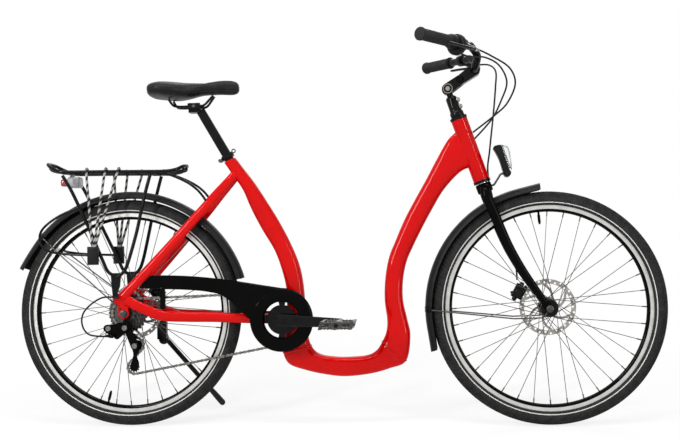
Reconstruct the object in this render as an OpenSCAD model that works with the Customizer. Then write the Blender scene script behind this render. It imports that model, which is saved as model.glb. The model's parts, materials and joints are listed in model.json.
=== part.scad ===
// Step-through city bicycle with a deep U frame, parked leaning on its side stand.
// Every piece is drawn on the upright bicycle: X forward from the rear axle, Y to its left,
// Z up from the floor. The module parked() then leans the whole bicycle onto its stand.

/* [Wheels] */
// Outer radius of the rim
rim_outer_r = 288; // [270:0.5:300]
// Height of the tyre over the rim's edge
tyre_h = 38; // [32:0.5:46]
// Radius of the tyre's round section
tyre_sec_r = 23.5; // [20:0.5:28]
// Distance between the two axles
wheelbase = 1198; // [1150:1:1240]
// Radial depth of the rim
rim_depth = 19; // [14:0.5:26]
// Half width of the rim
rim_half_w = 12.5; // [10:0.5:16]
// Number of spokes in a wheel
spoke_count = 36; // [20:4:40]
// Radius of a spoke
spoke_r = 1; // [0.9:0.05:1.2]
// Radius of the brake rotors
rotor_r = 80; // [70:1:90]
// Thickness of the brake rotors
rotor_t = 2; // [1.6:0.1:2.4]

/* [Axles] */
// Radius of the front axle
front_axle_r = 4.5; // [4:0.1:6]
// Radius of the rear axle
rear_axle_r = 5; // [4.5:0.1:6]
// Half distance between the fork's dropouts
front_half_old = 50; // [48:0.5:56]
// Half distance between the frame's dropouts
rear_half_old = 67.5; // [65:0.5:72]
// Thickness of the dropout plates
dropout_t = 7; // [5:0.5:9]
// Bare axle end outside each nut
axle_end = 8; // [4:0.5:14]
// Thickness of the axle nuts
nut_t = 8; // [6:0.5:10]

/* [Frame] */
// Radius of the head tube
head_r = 23; // [20:0.5:26]
// Length of the head tube
head_len = 183; // [160:1:200]
// Angle of the steering axis from level
head_angle = 70.9; // [68:0.1:74]
// Radius of the steerer
steerer_r = 14.3; // [12.7:0.1:16]
// Height of the headset cups
cup_h = 8; // [6:0.5:12]
// Radius of the bottom bracket sleeve
bb_r = 20; // [18:0.5:24]
// Half length of the bottom bracket sleeve
bb_half = 34; // [32:0.5:42]
// Radius of the seat post
post_r = 13.6; // [12.5:0.1:16]
// Angle of the seat post from level
post_angle = 60; // [56:0.5:74]
// Seat post showing above the seat tube
post_show = 168; // [120:1:240]
// Seat post hidden in the seat tube
post_in = 42; // [30:1:44]

/* [Drive] */
// Crank axle below the wheel axles
bb_drop = 23; // [10:1:45]
// Crank axle ahead of the rear axle
bb_x = 450; // [430:1:470]
// Length of a crank arm
crank_len = 168; // [160:1:175]
// Angle of the right crank from level ahead
crank_angle = -3; // [-20:1:20]
// Radius of the crank axle
crank_axle_r = 8.5; // [7.5:0.1:11]
// Gap between the chain guard and a crank arm
crank_gap = 5; // [4:0.5:10]
// Thickness of a crank arm
crank_t = 16; // [12:0.5:20]
// Radius of a pedal axle
pedal_axle_r = 6; // [5:0.1:7.2]
// Chain line from the middle plane
chain_y = 45; // [42:0.5:50]
// Pitch radius of the chainring
chainring_r = 76.9; // [65:0.1:80]
// Pitch radius of the driven cog
cog_r = 40.6; // [34:0.1:44]
// Height of the chain's side plates
chain_h = 8; // [7:0.1:9]
// Width of the chain
chain_w = 7; // [6:0.1:8]

/* [Side stand] */
// Lean of the parked bicycle
lean = 7; // [5:0.5:10]
// Forward share of the leg's direction
stand_rake = 0.51; // [0.44:0.01:0.58]
// Sideways share of the leg's direction
stand_splay = 0.44; // [0.36:0.01:0.5]
// Radius of the stand's foot
foot_r = 9; // [7:0.5:12]
// Radius of the stand's pin
stand_pin_r = 4; // [3:0.1:5]

/* [Bars and saddle] */
// Half width of the handlebar over its grips
bar_half_w = 305; // [280:1:330]
// Height of the grip ends over the head tube's foot
grip_rise = 367; // [320:1:410]
// Length of the grips
grip_len = 134; // [115:1:145]
// Radius of the handlebar
bar_r = 11; // [10.5:0.1:12]
// Radius of the grips
grip_r = 16; // [14:0.5:18]
// Length of the saddle
saddle_len = 262; // [245:1:280]
// Width of the saddle at its back
saddle_w = 172; // [150:1:190]

/* [Mudguards and carrier] */
// Rear mudguard's outside over the tyre
rear_guard_gap = 24; // [20:0.5:34]
// Front mudguard's outside over the tyre
front_guard_gap = 19; // [16:0.5:26]
// Half width of the mudguards
guard_half_w = 27; // [25:0.5:31]
// Thickness of the mudguards
guard_t = 2; // [1.5:0.1:3]
// Radius of the carrier's tubes
carrier_r = 5; // [4:0.25:6]
// Half width of the carrier's deck
carrier_half_w = 62; // [55:1:70]
// Height of the carrier's deck over the rear mudguard
carrier_gap = 57; // [45:1:75]

/* [Fits] */
// Radial clearance of a running fit
run_fit = 0.05; // [0.02:0.01:0.1]
// Gap between seated pieces
seat_gap = 0.2; // [0.1:0.05:0.4]
// Gap between a moving piece and its neighbour along a pin
side_gap = 0.5; // [0.3:0.1:1.5]

/* [Hidden] */
$fn = 64;
red = [0.78, 0.03, 0.02];
black = [0.03, 0.03, 0.035];
rubber = [0.05, 0.05, 0.05];
silver = [0.7, 0.71, 0.72];
steel = [0.55, 0.56, 0.58];
dark_steel = [0.2, 0.2, 0.21];
tyre_outer_r = rim_outer_r + tyre_h;
// Heights are drawn over a level that lies axle_z under the axles; floor_z is the floor's height over it
axle_z = 326;
floor_z = axle_z - tyre_outer_r;
bb_z = axle_z - bb_drop;
rear_guard_r = tyre_outer_r + rear_guard_gap;
front_guard_r = tyre_outer_r + front_guard_gap;
carrier_z = axle_z + rear_guard_r + carrier_gap;
tyre_ring_r = tyre_outer_r - tyre_sec_r;
rim_inner_r = rim_outer_r - rim_depth;

// Steering axis: a point at the head tube's foot, behind the front axle and over the tyre's radius,
// and the direction up along it
head_back = 180;
head_over = 361;
head_foot = [wheelbase - head_back, 0, tyre_outer_r + head_over];
steer_up = [-cos(head_angle), 0, sin(head_angle)];
head_top = head_foot + head_len * steer_up;

// Seat post axis
seat_top = [299, 0, 760];
post_up = [-cos(post_angle), 0, sin(post_angle)];
post_top = seat_top + post_show * post_up;

// Side stand: pin place, deployed and folded directions, and the pin's axis
stand_pin = [76, 92, 246];
floor_lift = tyre_sec_r * (1 - cos(lean));
stand_down = sqrt(1 - stand_splay * stand_splay - stand_rake * stand_rake);
stand_reach = stand_pin[2] - floor_z - (foot_r - floor_lift + stand_pin[1] * sin(lean)) / cos(lean);
stand_len = stand_reach / (stand_down + stand_splay * tan(lean));
stand_dir = [stand_rake, stand_splay, -stand_down];
fold_dir = unit([-0.995, 0.09, -0.03]);
stand_turn = stand_dir - fold_dir;
axis_x = -0.1;
stand_axis = unit([axis_x, 1, -(stand_turn[0] * axis_x + stand_turn[1]) / stand_turn[2]]);

// Vector helpers
function unit(v) = v / norm(v);
function mirror_y(p) = [for (q = p) [q[0], -q[1], q[2]]];
function flip(p) = [for (i = [len(p) - 1:-1:0]) p[i]];
function both(p) = concat(flip(mirror_y(p)), p);
function tangent(p, i) = unit(p[min(i + 1, len(p) - 1)] - p[max(i - 1, 0)]);
function blend_point(a, b, c, d, t) = 0.5 * (2 * b + (c - a) * t + (2 * a - 5 * b + 4 * c - d) * t * t
    + (3 * b - a - 3 * c + d) * t * t * t);
// A smooth curve through the points, with m steps from each point to the next
function smooth(p, m) = concat([for (i = [0:len(p) - 2]) for (k = [0:m - 1])
    blend_point(p[max(i - 1, 0)], p[i], p[i + 1], p[min(i + 2, len(p) - 1)], k / m)], [p[len(p) - 1]]);
function round_power(c, e) = sign(c) * pow(abs(c), 2 / e);
function ring(c, t, ref, a, b, n) = let (s = unit(cross(t, ref)), u = cross(s, t))
    [for (k = [0:n - 1]) c + a * cos(360 * k / n) * s + b * sin(360 * k / n) * u];
function skin_faces(m, n) = concat(
    [[for (k = [n - 1:-1:0]) k]],
    [for (i = [0:m - 2]) for (k = [0:n - 1]) let (a = i * n + k, b = i * n + (k + 1) % n)
        each [[a, b, b + n], [a, b + n, a + n]]],
    [[for (k = [0:n - 1]) (m - 1) * n + k]]);
function loop_faces(m, n) = [for (i = [0:m - 1]) for (k = [0:n - 1])
    let (a = i * n + k, b = i * n + (k + 1) % n, c = ((i + 1) % m) * n + k,
        d = ((i + 1) % m) * n + (k + 1) % n)
    each [[a, b, d], [a, d, c]]];

// Rings of points, skinned into one closed solid
module skin(rings) {
    n = len(rings[0]);
    polyhedron(points = [for (r = rings) each r], faces = skin_faces(len(rings), n));
}

// A rod of elliptic section along a path: a across the reference, b along it, tapering to a1, b1
module oval_rod(p, a, b, a1, b1, ref = [0, 1, 0], sides = 12) {
    last = len(p) - 1;
    skin([for (i = [0:last]) ring(p[i], tangent(p, i), ref,
        a + (a1 - a) * i / last, b + (b1 - b) * i / last, sides)]);
}

// A round rod along a path
module rod(p, r, ref = [0, 1, 0], sides = 8) {
    oval_rod(p, r, r, r, r, ref, sides);
}

// Joins tubes as a weld does
module welded() {
    resize([0, 0, 0]) children();
}

// Turns the Z axis onto a direction, from a place
module along(place, dir) {
    translate(place) rotate([0, acos(dir[2] / norm(dir)), atan2(dir[1], dir[0])]) children();
}

// Turns a profile's axis from Z to Y, pointing to the right of the bicycle
module across(place) {
    translate(place) rotate([90, 0, 0]) children();
}

// A plate drawn in the side view, from y0 to y1
module side_plate(y0, y1) {
    translate([0, y1, 0]) rotate([90, 0, 0]) linear_extrude(y1 - y0) children();
}

// Leans the upright bicycle onto its stand, with the origin under the middle of its outer box
module parked() {
    translate([-wheelbase / 2, -(grip_end[2] - floor_z) * sin(lean), floor_lift]) rotate([-lean, 0, 0])
        translate([0, 0, -floor_z]) children();
}

// Main tube
// Each station holds the outer edge point, the inner edge point and the half width of the tube
main_stations = [
    [283, 753, 315, 767, 17], [309, 714, 342, 731, 18], [336, 674, 369, 695, 19],
    [361, 616, 405, 639, 20], [391, 558, 438, 584, 21], [425, 500, 471, 520, 22],
    [446, 442, 496, 457, 23], [458, 384, 508, 392, 24], [457, 303, 513, 305, 24],
    [447, 238, 519, 250, 24], [446, 206, 527, 226, 24], [463, 174, 540, 209, 24],
    [508, 157, 561, 199, 24], [560, 145, 588, 195, 24], [622, 138, 624, 193, 24],
    [694, 145, 684, 197, 24], [751, 160, 713, 211, 24], [797, 181, 730, 236, 24],
    [810, 250, 742, 264, 24], [802, 298, 745, 298, 24], [791, 352, 739, 352, 24],
    [792, 409, 741, 409, 23], [803, 461, 752, 470, 22], [821, 502, 773, 522, 22],
    [847, 553, 799, 580, 22], [877, 607, 829, 635, 22], [911, 662, 862, 692, 21],
    [955, 709, 892, 747, 20], [984, 724, 926, 804, 18], [1004, 732, 956, 830, 16]];
main_sides = 24;
main_square = 2.5;
function main_ring(s, grow) = let (c = [(s[0] + s[2]) / 2, 0, (s[1] + s[3]) / 2],
    h = [s[2] - s[0], 0, s[3] - s[1]] / 2, hg = h * (1 + grow / norm(h)))
    [for (k = [0:main_sides - 1]) let (a = 360 * k / main_sides)
        c + hg * round_power(cos(a), main_square) + [0, (s[4] + grow) * round_power(sin(a), main_square), 0]];
// The seat tube's foot follows the crank axle. Ahead of the step the tube keeps its gap to the front
// mudguard, and its top end follows the head tube
drawn_bb_x = 450;
step_rear = 560;
step_front = 800;
lift_low = 300;
lift_high = 680;
foot_high = 580;
step_gap = 43;
tube_into_head = [14, 0, -45];
step_tip = max([for (s = main_stations) if (s[1] < lift_low) s[0]]);
tube_end = main_stations[len(main_stations) - 1];
step_pull = wheelbase - front_guard_r - step_gap - step_tip;
head_pull = head_foot - tube_into_head - [tube_end[0], 0, tube_end[1]];
function ramp(v, a, b) = min(1, max(0, (v - a) / (b - a)));
function station_x(x, z) = x + ramp(x, step_rear, step_front)
    * (step_pull + (head_pull[0] - step_pull) * ramp(z, lift_low, lift_high))
    + (bb_x - drawn_bb_x) * ramp(z, foot_high, foot_high - bb_z / 2) * ramp(x, step_front, step_rear);
function station_z(x, z) = z
    + (x > (step_rear + step_front) / 2 ? head_pull[2] * ramp(z, lift_low, lift_high) : 0);
stations = [for (s = main_stations) [station_x(s[0], s[1]), station_z(s[0], s[1]), station_x(s[2], s[3]),
    station_z(s[2], s[3]), s[4]]];
module main_tube(grow = 0) {
    skin([for (s = smooth(stations, 2)) main_ring(s, grow)]);
}
module main_frame() {
    color(red) parked() welded() difference() {
        main_tube();
        along(head_foot, steer_up) cylinder(r = head_r + seat_gap, h = 3 * head_len, center = true, $fn = 96);
        across([bb_x, 0, bb_z]) cylinder(r = bb_r + seat_gap, h = 4 * bb_half, center = true, $fn = 96);
        along(seat_top - post_in * post_up, post_up)
            cylinder(r = post_r + seat_gap, h = 2 * post_in, $fn = 96);
    }
}

// Head tube and headset
module head_tube() {
    color(red) parked() along(head_foot, steer_up) difference() {
        cylinder(r = head_r, h = head_len);
        translate([0, 0, -1]) cylinder(r = steerer_r + run_fit, h = head_len + 2);
    }
}
cup_r = head_r + 1.5;
module headset_cup(z0, z1) {
    translate([0, 0, z0]) difference() {
        cylinder(r = cup_r, h = z1 - z0);
        translate([0, 0, -1]) cylinder(r = steerer_r + run_fit, h = z1 - z0 + 2);
    }
}
module headset_cups() {
    color(black) parked() along(head_foot, steer_up) {
        headset_cup(-cup_h, -seat_gap / 4);
        headset_cup(head_len + seat_gap / 4, head_len + cup_h);
    }
}
module bottom_bracket() {
    color(black) parked() across([bb_x, 0, bb_z]) difference() {
        cylinder(r = bb_r, h = 2 * bb_half, center = true);
        cylinder(r = crank_axle_r + run_fit, h = 3 * bb_half, center = true);
    }
}

// Rear triangle
stay_y = rear_half_old + dropout_t / 2;
stay_end = [-2, stay_y, 374];
// Chainstay points: share of the way from rear axle to crank axle, y, height over the crank axle
chainstay_rows = [[0.03, stay_y, 58], [0.134, stay_y - 1, 35], [0.245, stay_y - 5, 16],
    [0.4, stay_y - 15, 11],
    [0.573, stay_y - 25, 9], [0.733, stay_y - 33, 5], [0.844, 29, 2]];
chainstay_path = concat([for (q = chainstay_rows) [q[0] * bb_x, q[1], bb_z + q[2]]],
    [[bb_x - bb_r - seat_gap - 0.3, 25, bb_z + 1]]);
seatstay_path = [stay_end, [60, stay_y - 5, 438], [120, stay_y - 15, 502], [180, stay_y - 26, 568],
    [225, 38, 618], [262, 27, 660], [295, 17, 696], [318, 12, 722]];
module chainstay_tube(grow = 0) {
    oval_rod(smooth(chainstay_path, 3), 15 + grow, 9 + grow, 13 + grow, 8 + grow);
}
module chainstay() {
    difference() {
        chainstay_tube();
        seatstay_tube(seat_gap);
        main_tube(seat_gap);
        dropout_seat();
    }
}
module seatstay_tube(grow = 0) {
    oval_rod(smooth(seatstay_path, 3), 14 + grow, 8.5 + grow, 13 + grow, 8 + grow);
}
bridge_r = 6;
bridge_gap = 10;
bridge_angle = 52.5;
bridge_at = [0, 0, axle_z] + (rear_guard_r + bridge_gap) * [cos(bridge_angle), 0, sin(bridge_angle)];
module chainstays() {
    color(red) parked() for (m = [0, 1]) welded() mirror([0, m, 0]) chainstay();
}
module seatstays() {
    color(red) parked() welded() difference() {
        union() {
            for (m = [0, 1]) mirror([0, m, 0]) seatstay_tube();
            across(bridge_at) cylinder(r = bridge_r, h = 80, center = true, $fn = 24);
        }
        main_tube(seat_gap);
        for (m = [0, 1]) mirror([0, m, 0]) dropout_seat();
    }
}
module dropout_plate() {
    polygon([[-30, 383], [-12, 383], [8, 363.6], [13, 358], [13, 340], [14, axle_z], [-14, axle_z],
        [-20, 350], [-30, 364]]);
    translate([0, axle_z]) circle(r = 15);
}
module dropout_seat() {
    side_plate(rear_half_old - seat_gap, rear_half_old + dropout_t + seat_gap) offset(delta = seat_gap)
        dropout_plate();
}
module dropout_outline() {
    difference() {
        dropout_plate();
        translate([0, axle_z]) circle(r = rear_axle_r + run_fit);
    }
}
module dropouts() {
    color(red) parked() for (m = [0, 1]) mirror([0, m, 0])
        side_plate(rear_half_old, rear_half_old + dropout_t) dropout_outline();
}

// Seat post, clamp and saddle
collar_r = 19;
collar_h = 13;
collar_foot = 6.5;
collar_top = collar_foot + collar_h + seat_gap;
module seat_clamp() {
    color(dark_steel) parked() along(seat_top + collar_foot * post_up, post_up) difference() {
        cylinder(r = collar_r, h = collar_h);
        translate([0, 0, -1]) cylinder(r = post_r + run_fit, h = collar_h + 2);
    }
}
rail_y = 22;
rail_r = 3.5;
rail_z = 11.5;
post_hidden_r = post_r - seat_gap;
post_neck = 20;
module seat_post() {
    color(black) parked() {
        along(seat_top - post_in * post_up, post_up) cylinder(r = post_hidden_r, h = post_in + post_show);
        along(seat_top + collar_top * post_up, post_up)
            cylinder(r = post_r, h = post_show - collar_top - post_neck);
        translate([post_top[0] - 32, -rail_y + rail_r + seat_gap, post_top[2] - 6])
            cube([36, 2 * (rail_y - rail_r - seat_gap), 18]);
    }
}
// Rails and saddle are drawn from the post's top
rail_path = [[-87, 30, 32.5], [-75, 25, 15.5], [-59, rail_y, rail_z], [-25, rail_y, rail_z],
    [2, rail_y, rail_z],
    [16, 20, 15.5], [31, 14, 32.5], [39, 11, 40.5]];
module saddle_rails() {
    color(dark_steel) parked() translate(post_top) for (m = [0, 1]) mirror([0, m, 0])
        rod(smooth(rail_path, 3), rail_r);
}
// Saddle sections from tail to nose: place, half width, top, bottom and edge drop
saddle_back_x = -148;
saddle_rows = [[0, 0.58, 74, 47], [0.04, 0.82, 83, 41], [0.14, 1, 86, 37], [0.3, 0.93, 83, 33],
    [0.45, 0.58, 80, 37], [0.6, 0.33, 82, 44], [0.78, 0.25, 87, 45], [0.92, 0.21, 86, 43], [1, 0.12, 76, 51]];
saddle_sides = 16;
function saddle_ring(s) = let (x = saddle_back_x + s[0] * saddle_len, w = s[1] * saddle_w / 2,
    c = (s[2] + s[3]) / 2, h = (s[2] - s[3]) / 2)
    [for (k = [0:saddle_sides - 1]) let (a = -360 * k / saddle_sides)
        [x, w * round_power(cos(a), 2.4), c + h * round_power(sin(a), 2.4)]];
module saddle() {
    color(rubber) parked() translate(post_top) skin([for (s = smooth(saddle_rows, 2)) saddle_ring(s)]);
}

// Chain, its guard and the drive
guard_plate_t = 3;
guard_y = chain_y + chain_w / 2 + 9.5;
guard_disc_r = chainring_r + 13;
guard_hole_r = 52;
crank_y = guard_y + guard_plate_t + crank_gap;
// Outline of the guard's tail: share of the way from rear axle to crank axle, height over the crank axle
guard_rows = [[1, 89], [0.88, 99], [0.733, 110], [0.556, 121], [0.378, 128], [0.17, 131], [0.113, 110],
    [0.088, 95],
    [0.2, 91], [0.378, 88], [0.533, 81], [0.644, 64], [0.744, 33], [0.804, -3]];
guard_tail = [for (q = guard_rows) [q[0] * bb_x, bb_z + q[1]]];
guard_tab_x = 0.231 * bb_x;
guard_tab_w = 14;
module chain_guard() {
    color(black) parked() {
        side_plate(-guard_y - guard_plate_t, -guard_y) difference() {
            union() {
                translate([bb_x, bb_z]) circle(r = guard_disc_r, $fn = 96);
                polygon(concat(guard_tail, [[bb_x, bb_z]]));
            }
            translate([bb_x, bb_z]) circle(r = guard_hole_r, $fn = 96);
        }
        welded() difference() {
            translate([guard_tab_x, -guard_y - 8, bb_z + 18]) cube([guard_tab_w, 8.5, 90]);
            mirror([0, 1, 0]) chainstay_tube(seat_gap);
        }
        welded() difference() {
            across([bb_x - 93, -guard_y - 1, bb_z + 11]) translate([0, 0, -18])
                cylinder(r = 4, h = 18, $fn = 24);
            mirror([0, 1, 0]) chainstay_tube(seat_gap);
        }
    }
}
// The chain's centre line: over the ring, back to the cog, and through the two small wheels
idler_r = 20;
upper_idler = [30, 234];
lower_idler = [22, 172];
function arc(c, r, a0, a1, m) = [for (i = [0:m]) let (a = a0 + (a1 - a0) * i / m)
    [c[0] + r * cos(a), -chain_y, c[1] + r * sin(a)]];
chain_path = concat(
    arc([bb_x, bb_z], chainring_r, -106, 86, 20),
    arc([0, axle_z], cog_r, 86, 262, 14),
    arc(upper_idler, idler_r, 74, -62, 8),
    arc(lower_idler, idler_r, 118, 286, 9));
function chain_ring(i) = let (m = len(chain_path), c = chain_path[i],
    t = unit(chain_path[(i + 1) % m] - chain_path[(i + m - 1) % m]), s = [t[2], 0, -t[0]])
    [for (q = [[1, 1], [-1, 1], [-1, -1], [1, -1]]) c + s * q[0] * chain_h / 2 + [0, q[1] * chain_w / 2, 0]];
module chain() {
    color(dark_steel) parked() polyhedron(points = [for (i = [0:len(chain_path) - 1]) each chain_ring(i)],
        faces = loop_faces(len(chain_path), 4));
}
cage_y = chain_y + chain_w / 2 + seat_gap;
cage_t = 2;
hanger_y = rear_half_old + dropout_t;
module idler(c) {
    across([c[0], -chain_y, c[1]]) cylinder(r = idler_r - chain_h / 2 - seat_gap, h = chain_w - 2,
        center = true);
}
module cage_plate(y) {
    side_plate(-y - cage_t, -y) hull() {
        translate(upper_idler) circle(r = 15);
        translate(lower_idler) circle(r = 13);
    }
}
module derailleur() {
    color(black) parked() {
        cage_plate(cage_y);
        cage_plate(chain_y - chain_w / 2 - seat_gap - cage_t);
        idler(upper_idler);
        idler(lower_idler);
        for (c = [upper_idler, lower_idler]) across([c[0], -chain_y, c[1]])
            cylinder(r = 4, h = 2 * (chain_w / 2 + seat_gap + cage_t), center = true);
        side_plate(-cage_y - cage_t - 12, -cage_y - cage_t) translate(upper_idler) circle(r = 12);
        side_plate(-hanger_y + 2, -cage_y - cage_t - 11) hull() {
            translate(upper_idler) circle(r = 16);
            translate([4, 286]) circle(r = 13);
            translate([-20, 262]) circle(r = 12);
        }
        side_plate(-hanger_y + 3, -cage_y - cage_t - 12) hull() {
            translate([4, 286]) circle(r = 11);
            translate([-50, 284]) circle(r = 12);
            translate([-34, 268]) circle(r = 11);
        }
        side_plate(-hanger_y - 6, -hanger_y + 4) translate([4, 286]) circle(r = 10);
        side_plate(-hanger_y - 6, -hanger_y - seat_gap / 2) hull() {
            translate([4, 286]) circle(r = 12);
            translate([8, 306]) circle(r = 7);
        }
    }
}
// The chainring has four arms, with a curved window from each to the next
arm_angle = 10;
window_angle = 68;
window_in = guard_hole_r - 10;
window_out = guard_hole_r - 1;
function fan(r, a0, a1, m) = [for (i = [0:m]) let (a = a0 + (a1 - a0) * i / m) [r * cos(a), r * sin(a)]];
module chainring() {
    color(black) parked() across([bb_x, -chain_y, bb_z]) difference() {
        cylinder(r = chainring_r - chain_h / 2 - side_gap, h = 3, center = true);
        cylinder(r = crank_axle_r + run_fit, h = 6, center = true);
        for (k = [0:3]) rotate([0, 0, 90 * k + arm_angle]) translate([0, 0, -3]) linear_extrude(6)
            polygon(concat(fan(window_out, 0, window_angle, 8), fan(window_in, window_angle, 0, 8)));
    }
}
function crank_end(m) = [bb_x + m * crank_len * cos(crank_angle), 0, bb_z + m * crank_len * sin(crank_angle)];
pedal_y = crank_y + crank_t + 12;
pedal_w = 92;
pedal_l = 97;
pedal_h = 24;
module crank_arm(m) {
    e = crank_end(m);
    hull() {
        translate([bb_x, bb_z]) circle(r = 17);
        translate([e[0], e[2]]) circle(r = 13);
    }
}
module crankset() {
    color(black) parked() {
        across([bb_x, 0, bb_z]) cylinder(r = crank_axle_r, h = 2 * crank_y + 8, center = true);
        side_plate(-crank_y - crank_t, -crank_y) crank_arm(1);
        side_plate(crank_y, crank_y + crank_t) crank_arm(-1);
        across(crank_end(1) + [0, -pedal_y - pedal_w / 2 + crank_t / 2, 0])
            cylinder(r = pedal_axle_r, h = pedal_w + crank_t, center = true);
        across(crank_end(-1) + [0, pedal_y + pedal_w / 2 - crank_t / 2, 0])
            cylinder(r = pedal_axle_r, h = pedal_w + crank_t, center = true);
    }
}
module pedal(m) {
    e = crank_end(m);
    y = -m * (pedal_y + pedal_w / 2);
    translate([e[0], y, e[2]]) difference() {
        union() {
            cube([pedal_l, pedal_w, pedal_h - 4], center = true);
            for (s = [-1, 1]) translate([s * (pedal_l / 2 - 5), 0, 0])
                cube([10, pedal_w, pedal_h], center = true);
        }
        for (s = [-1, 1]) translate([s * 25, 0, 0]) cube([26, pedal_w - 24, pedal_h + 2], center = true);
        rotate([90, 0, 0]) cylinder(r = pedal_axle_r + run_fit, h = pedal_w + 2, center = true);
    }
}
module pedal_left() {
    color(black) parked() pedal(-1);
}
module pedal_right() {
    color(black) parked() pedal(1);
}

// Wheels
module wheel_at(x) {
    across([x, 0, axle_z]) children();
}
module tyre() {
    rotate_extrude($fn = 128) intersection() {
        translate([tyre_ring_r, 0]) circle(r = tyre_sec_r, $fn = 48);
        translate([rim_outer_r + seat_gap, -2 * tyre_sec_r]) square([3 * tyre_sec_r, 4 * tyre_sec_r]);
    }
}
// Rim with its valve, at an angle about the axle
valve_r = 3;
valve_len = 34;
module rim(valve_angle) {
    rotate([0, 0, valve_angle]) rotate([0, 90, 0]) translate([0, 0, rim_inner_r - valve_len])
        cylinder(r = valve_r, h = valve_len + 3, $fn = 24);
    rotate_extrude($fn = 128) polygon([[rim_inner_r, -6], [rim_inner_r + 6, -rim_half_w],
        [rim_outer_r, -rim_half_w],
        [rim_outer_r, rim_half_w], [rim_inner_r + 6, rim_half_w], [rim_inner_r, 6]]);
}
module rotor() {
    difference() {
        cylinder(r = rotor_r, h = rotor_t, center = true);
        cylinder(r = rotor_r - 15, h = 3 * rotor_t, center = true);
    }
    for (k = [0:5]) rotate([0, 0, 60 * k]) translate([rotor_hub_r, -4, -rotor_t / 2])
        cube([rotor_r - 10 - rotor_hub_r, 8, rotor_t]);
    difference() {
        cylinder(r = rotor_hub_r + 6, h = rotor_t, center = true);
        cylinder(r = rotor_hub_r, h = 3 * rotor_t, center = true);
    }
}
rotor_hub_r = 22;
flange_r = 26;
// Spokes of one flange: y of the flange, flange radius; alternate spokes lean forward and back
module spokes(flange_y, r) {
    n = spoke_count / 2;
    turn = 54;
    for (k = [0:n - 1]) let (a = 360 * k / n, s = k % 2 == 0 ? 1 : -1, y0 = flange_y + s * 2.6)
        rod([[r * cos(a + s * turn), r * sin(a + s * turn), y0],
            [(rim_inner_r - seat_gap) * cos(a), (rim_inner_r - seat_gap) * sin(a), sign(flange_y) * 3]],
            spoke_r, ref = [0, 0, 1], sides = 6);
}
module hub(half, left_flange, right_flange, axle_r, left_end) {
    difference() {
        union() {
            cylinder(r = 15, h = 2 * half, center = true);
            for (y = [left_flange, right_flange]) translate([0, 0, y])
                cylinder(r = flange_r - 1.4, h = 9, center = true);
            translate([0, 0, left_end]) cylinder(r = rotor_hub_r - seat_gap, h = 6, center = true);
        }
        cylinder(r = axle_r + run_fit, h = 3 * half, center = true);
    }
}
front_rotor_y = 42;
rear_rotor_y = 52;
front_flange = 30;
rear_left_flange = 34;
rear_right_flange = chain_y - 29;
front_hub_half = front_half_old - 4;
rear_hub_half = rear_half_old - 5;
module tyre_front() {
    color(rubber) parked() wheel_at(wheelbase) tyre();
}
module rim_front() {
    color(silver) parked() wheel_at(wheelbase) rim(95);
}
module spokes_front() {
    color(silver) parked() wheel_at(wheelbase) {
        spokes(-front_flange, flange_r);
        rotate([0, 0, 360 / spoke_count]) spokes(front_flange, flange_r);
    }
}
module hub_front() {
    color(black) parked() wheel_at(wheelbase)
        hub(front_hub_half, -front_flange, front_flange, front_axle_r, -front_rotor_y);
}
module rotor_front() {
    color(steel) parked() wheel_at(wheelbase) translate([0, 0, -front_rotor_y]) rotor();
}
module tyre_rear() {
    color(rubber) parked() wheel_at(0) tyre();
}
module rim_rear() {
    color(silver) parked() wheel_at(0) rim(255);
}
module spokes_rear() {
    color(silver) parked() wheel_at(0) {
        spokes(-rear_left_flange, flange_r);
        rotate([0, 0, 360 / spoke_count]) spokes(rear_right_flange, flange_r);
    }
}
module hub_rear() {
    color(black) parked() wheel_at(0)
        hub(rear_hub_half, -rear_left_flange, rear_right_flange, rear_axle_r, -rear_rotor_y);
}
module rotor_rear() {
    color(steel) parked() wheel_at(0) translate([0, 0, -rear_rotor_y]) rotor();
}
cog_count = 7;
cog_step = 5;
driven_cog = 4;
cog_first_y = chain_y - driven_cog * cog_step;
cog_first_r = 56;
cog_last_r = 28;
function cog_size(k) = k == driven_cog ? cog_r - chain_h / 2 - side_gap
    : k > driven_cog ? cog_last_r + (cog_count - 1 - k) * 2 : cog_first_r - k * 4;
module cassette() {
    color(dark_steel) parked() wheel_at(0) difference() {
        union() {
            for (k = [0:cog_count - 1]) translate([0, 0, cog_first_y + k * cog_step])
                cylinder(r = cog_size(k), h = 2, center = true);
            translate([0, 0, cog_first_y - 1]) cylinder(r = 21, h = (cog_count - 1) * cog_step + 2);
        }
        cylinder(r = 15 + seat_gap, h = 200, center = true);
    }
}
module axle_set(x, r, half, t) {
    across([x, 0, axle_z]) {
        cylinder(r = r, h = 2 * (half + t + nut_t + axle_end), center = true);
        for (s = [-1, 1]) {
            translate([0, 0, s * (half + t + nut_t / 2 + seat_gap / 2)])
                cylinder(r = r + 5, h = nut_t, center = true, $fn = 6);
            translate([0, 0, s * (half - 2 + seat_gap)])
                cylinder(r = r + 4, h = 4 - 4 * seat_gap, center = true);
        }
    }
}
module rear_axle() {
    color(steel) parked() axle_set(0, rear_axle_r, rear_half_old, dropout_t);
}
tab_t = 6;
module front_axle() {
    color(steel) parked() axle_set(wheelbase, front_axle_r, front_half_old, tab_t);
}

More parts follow.
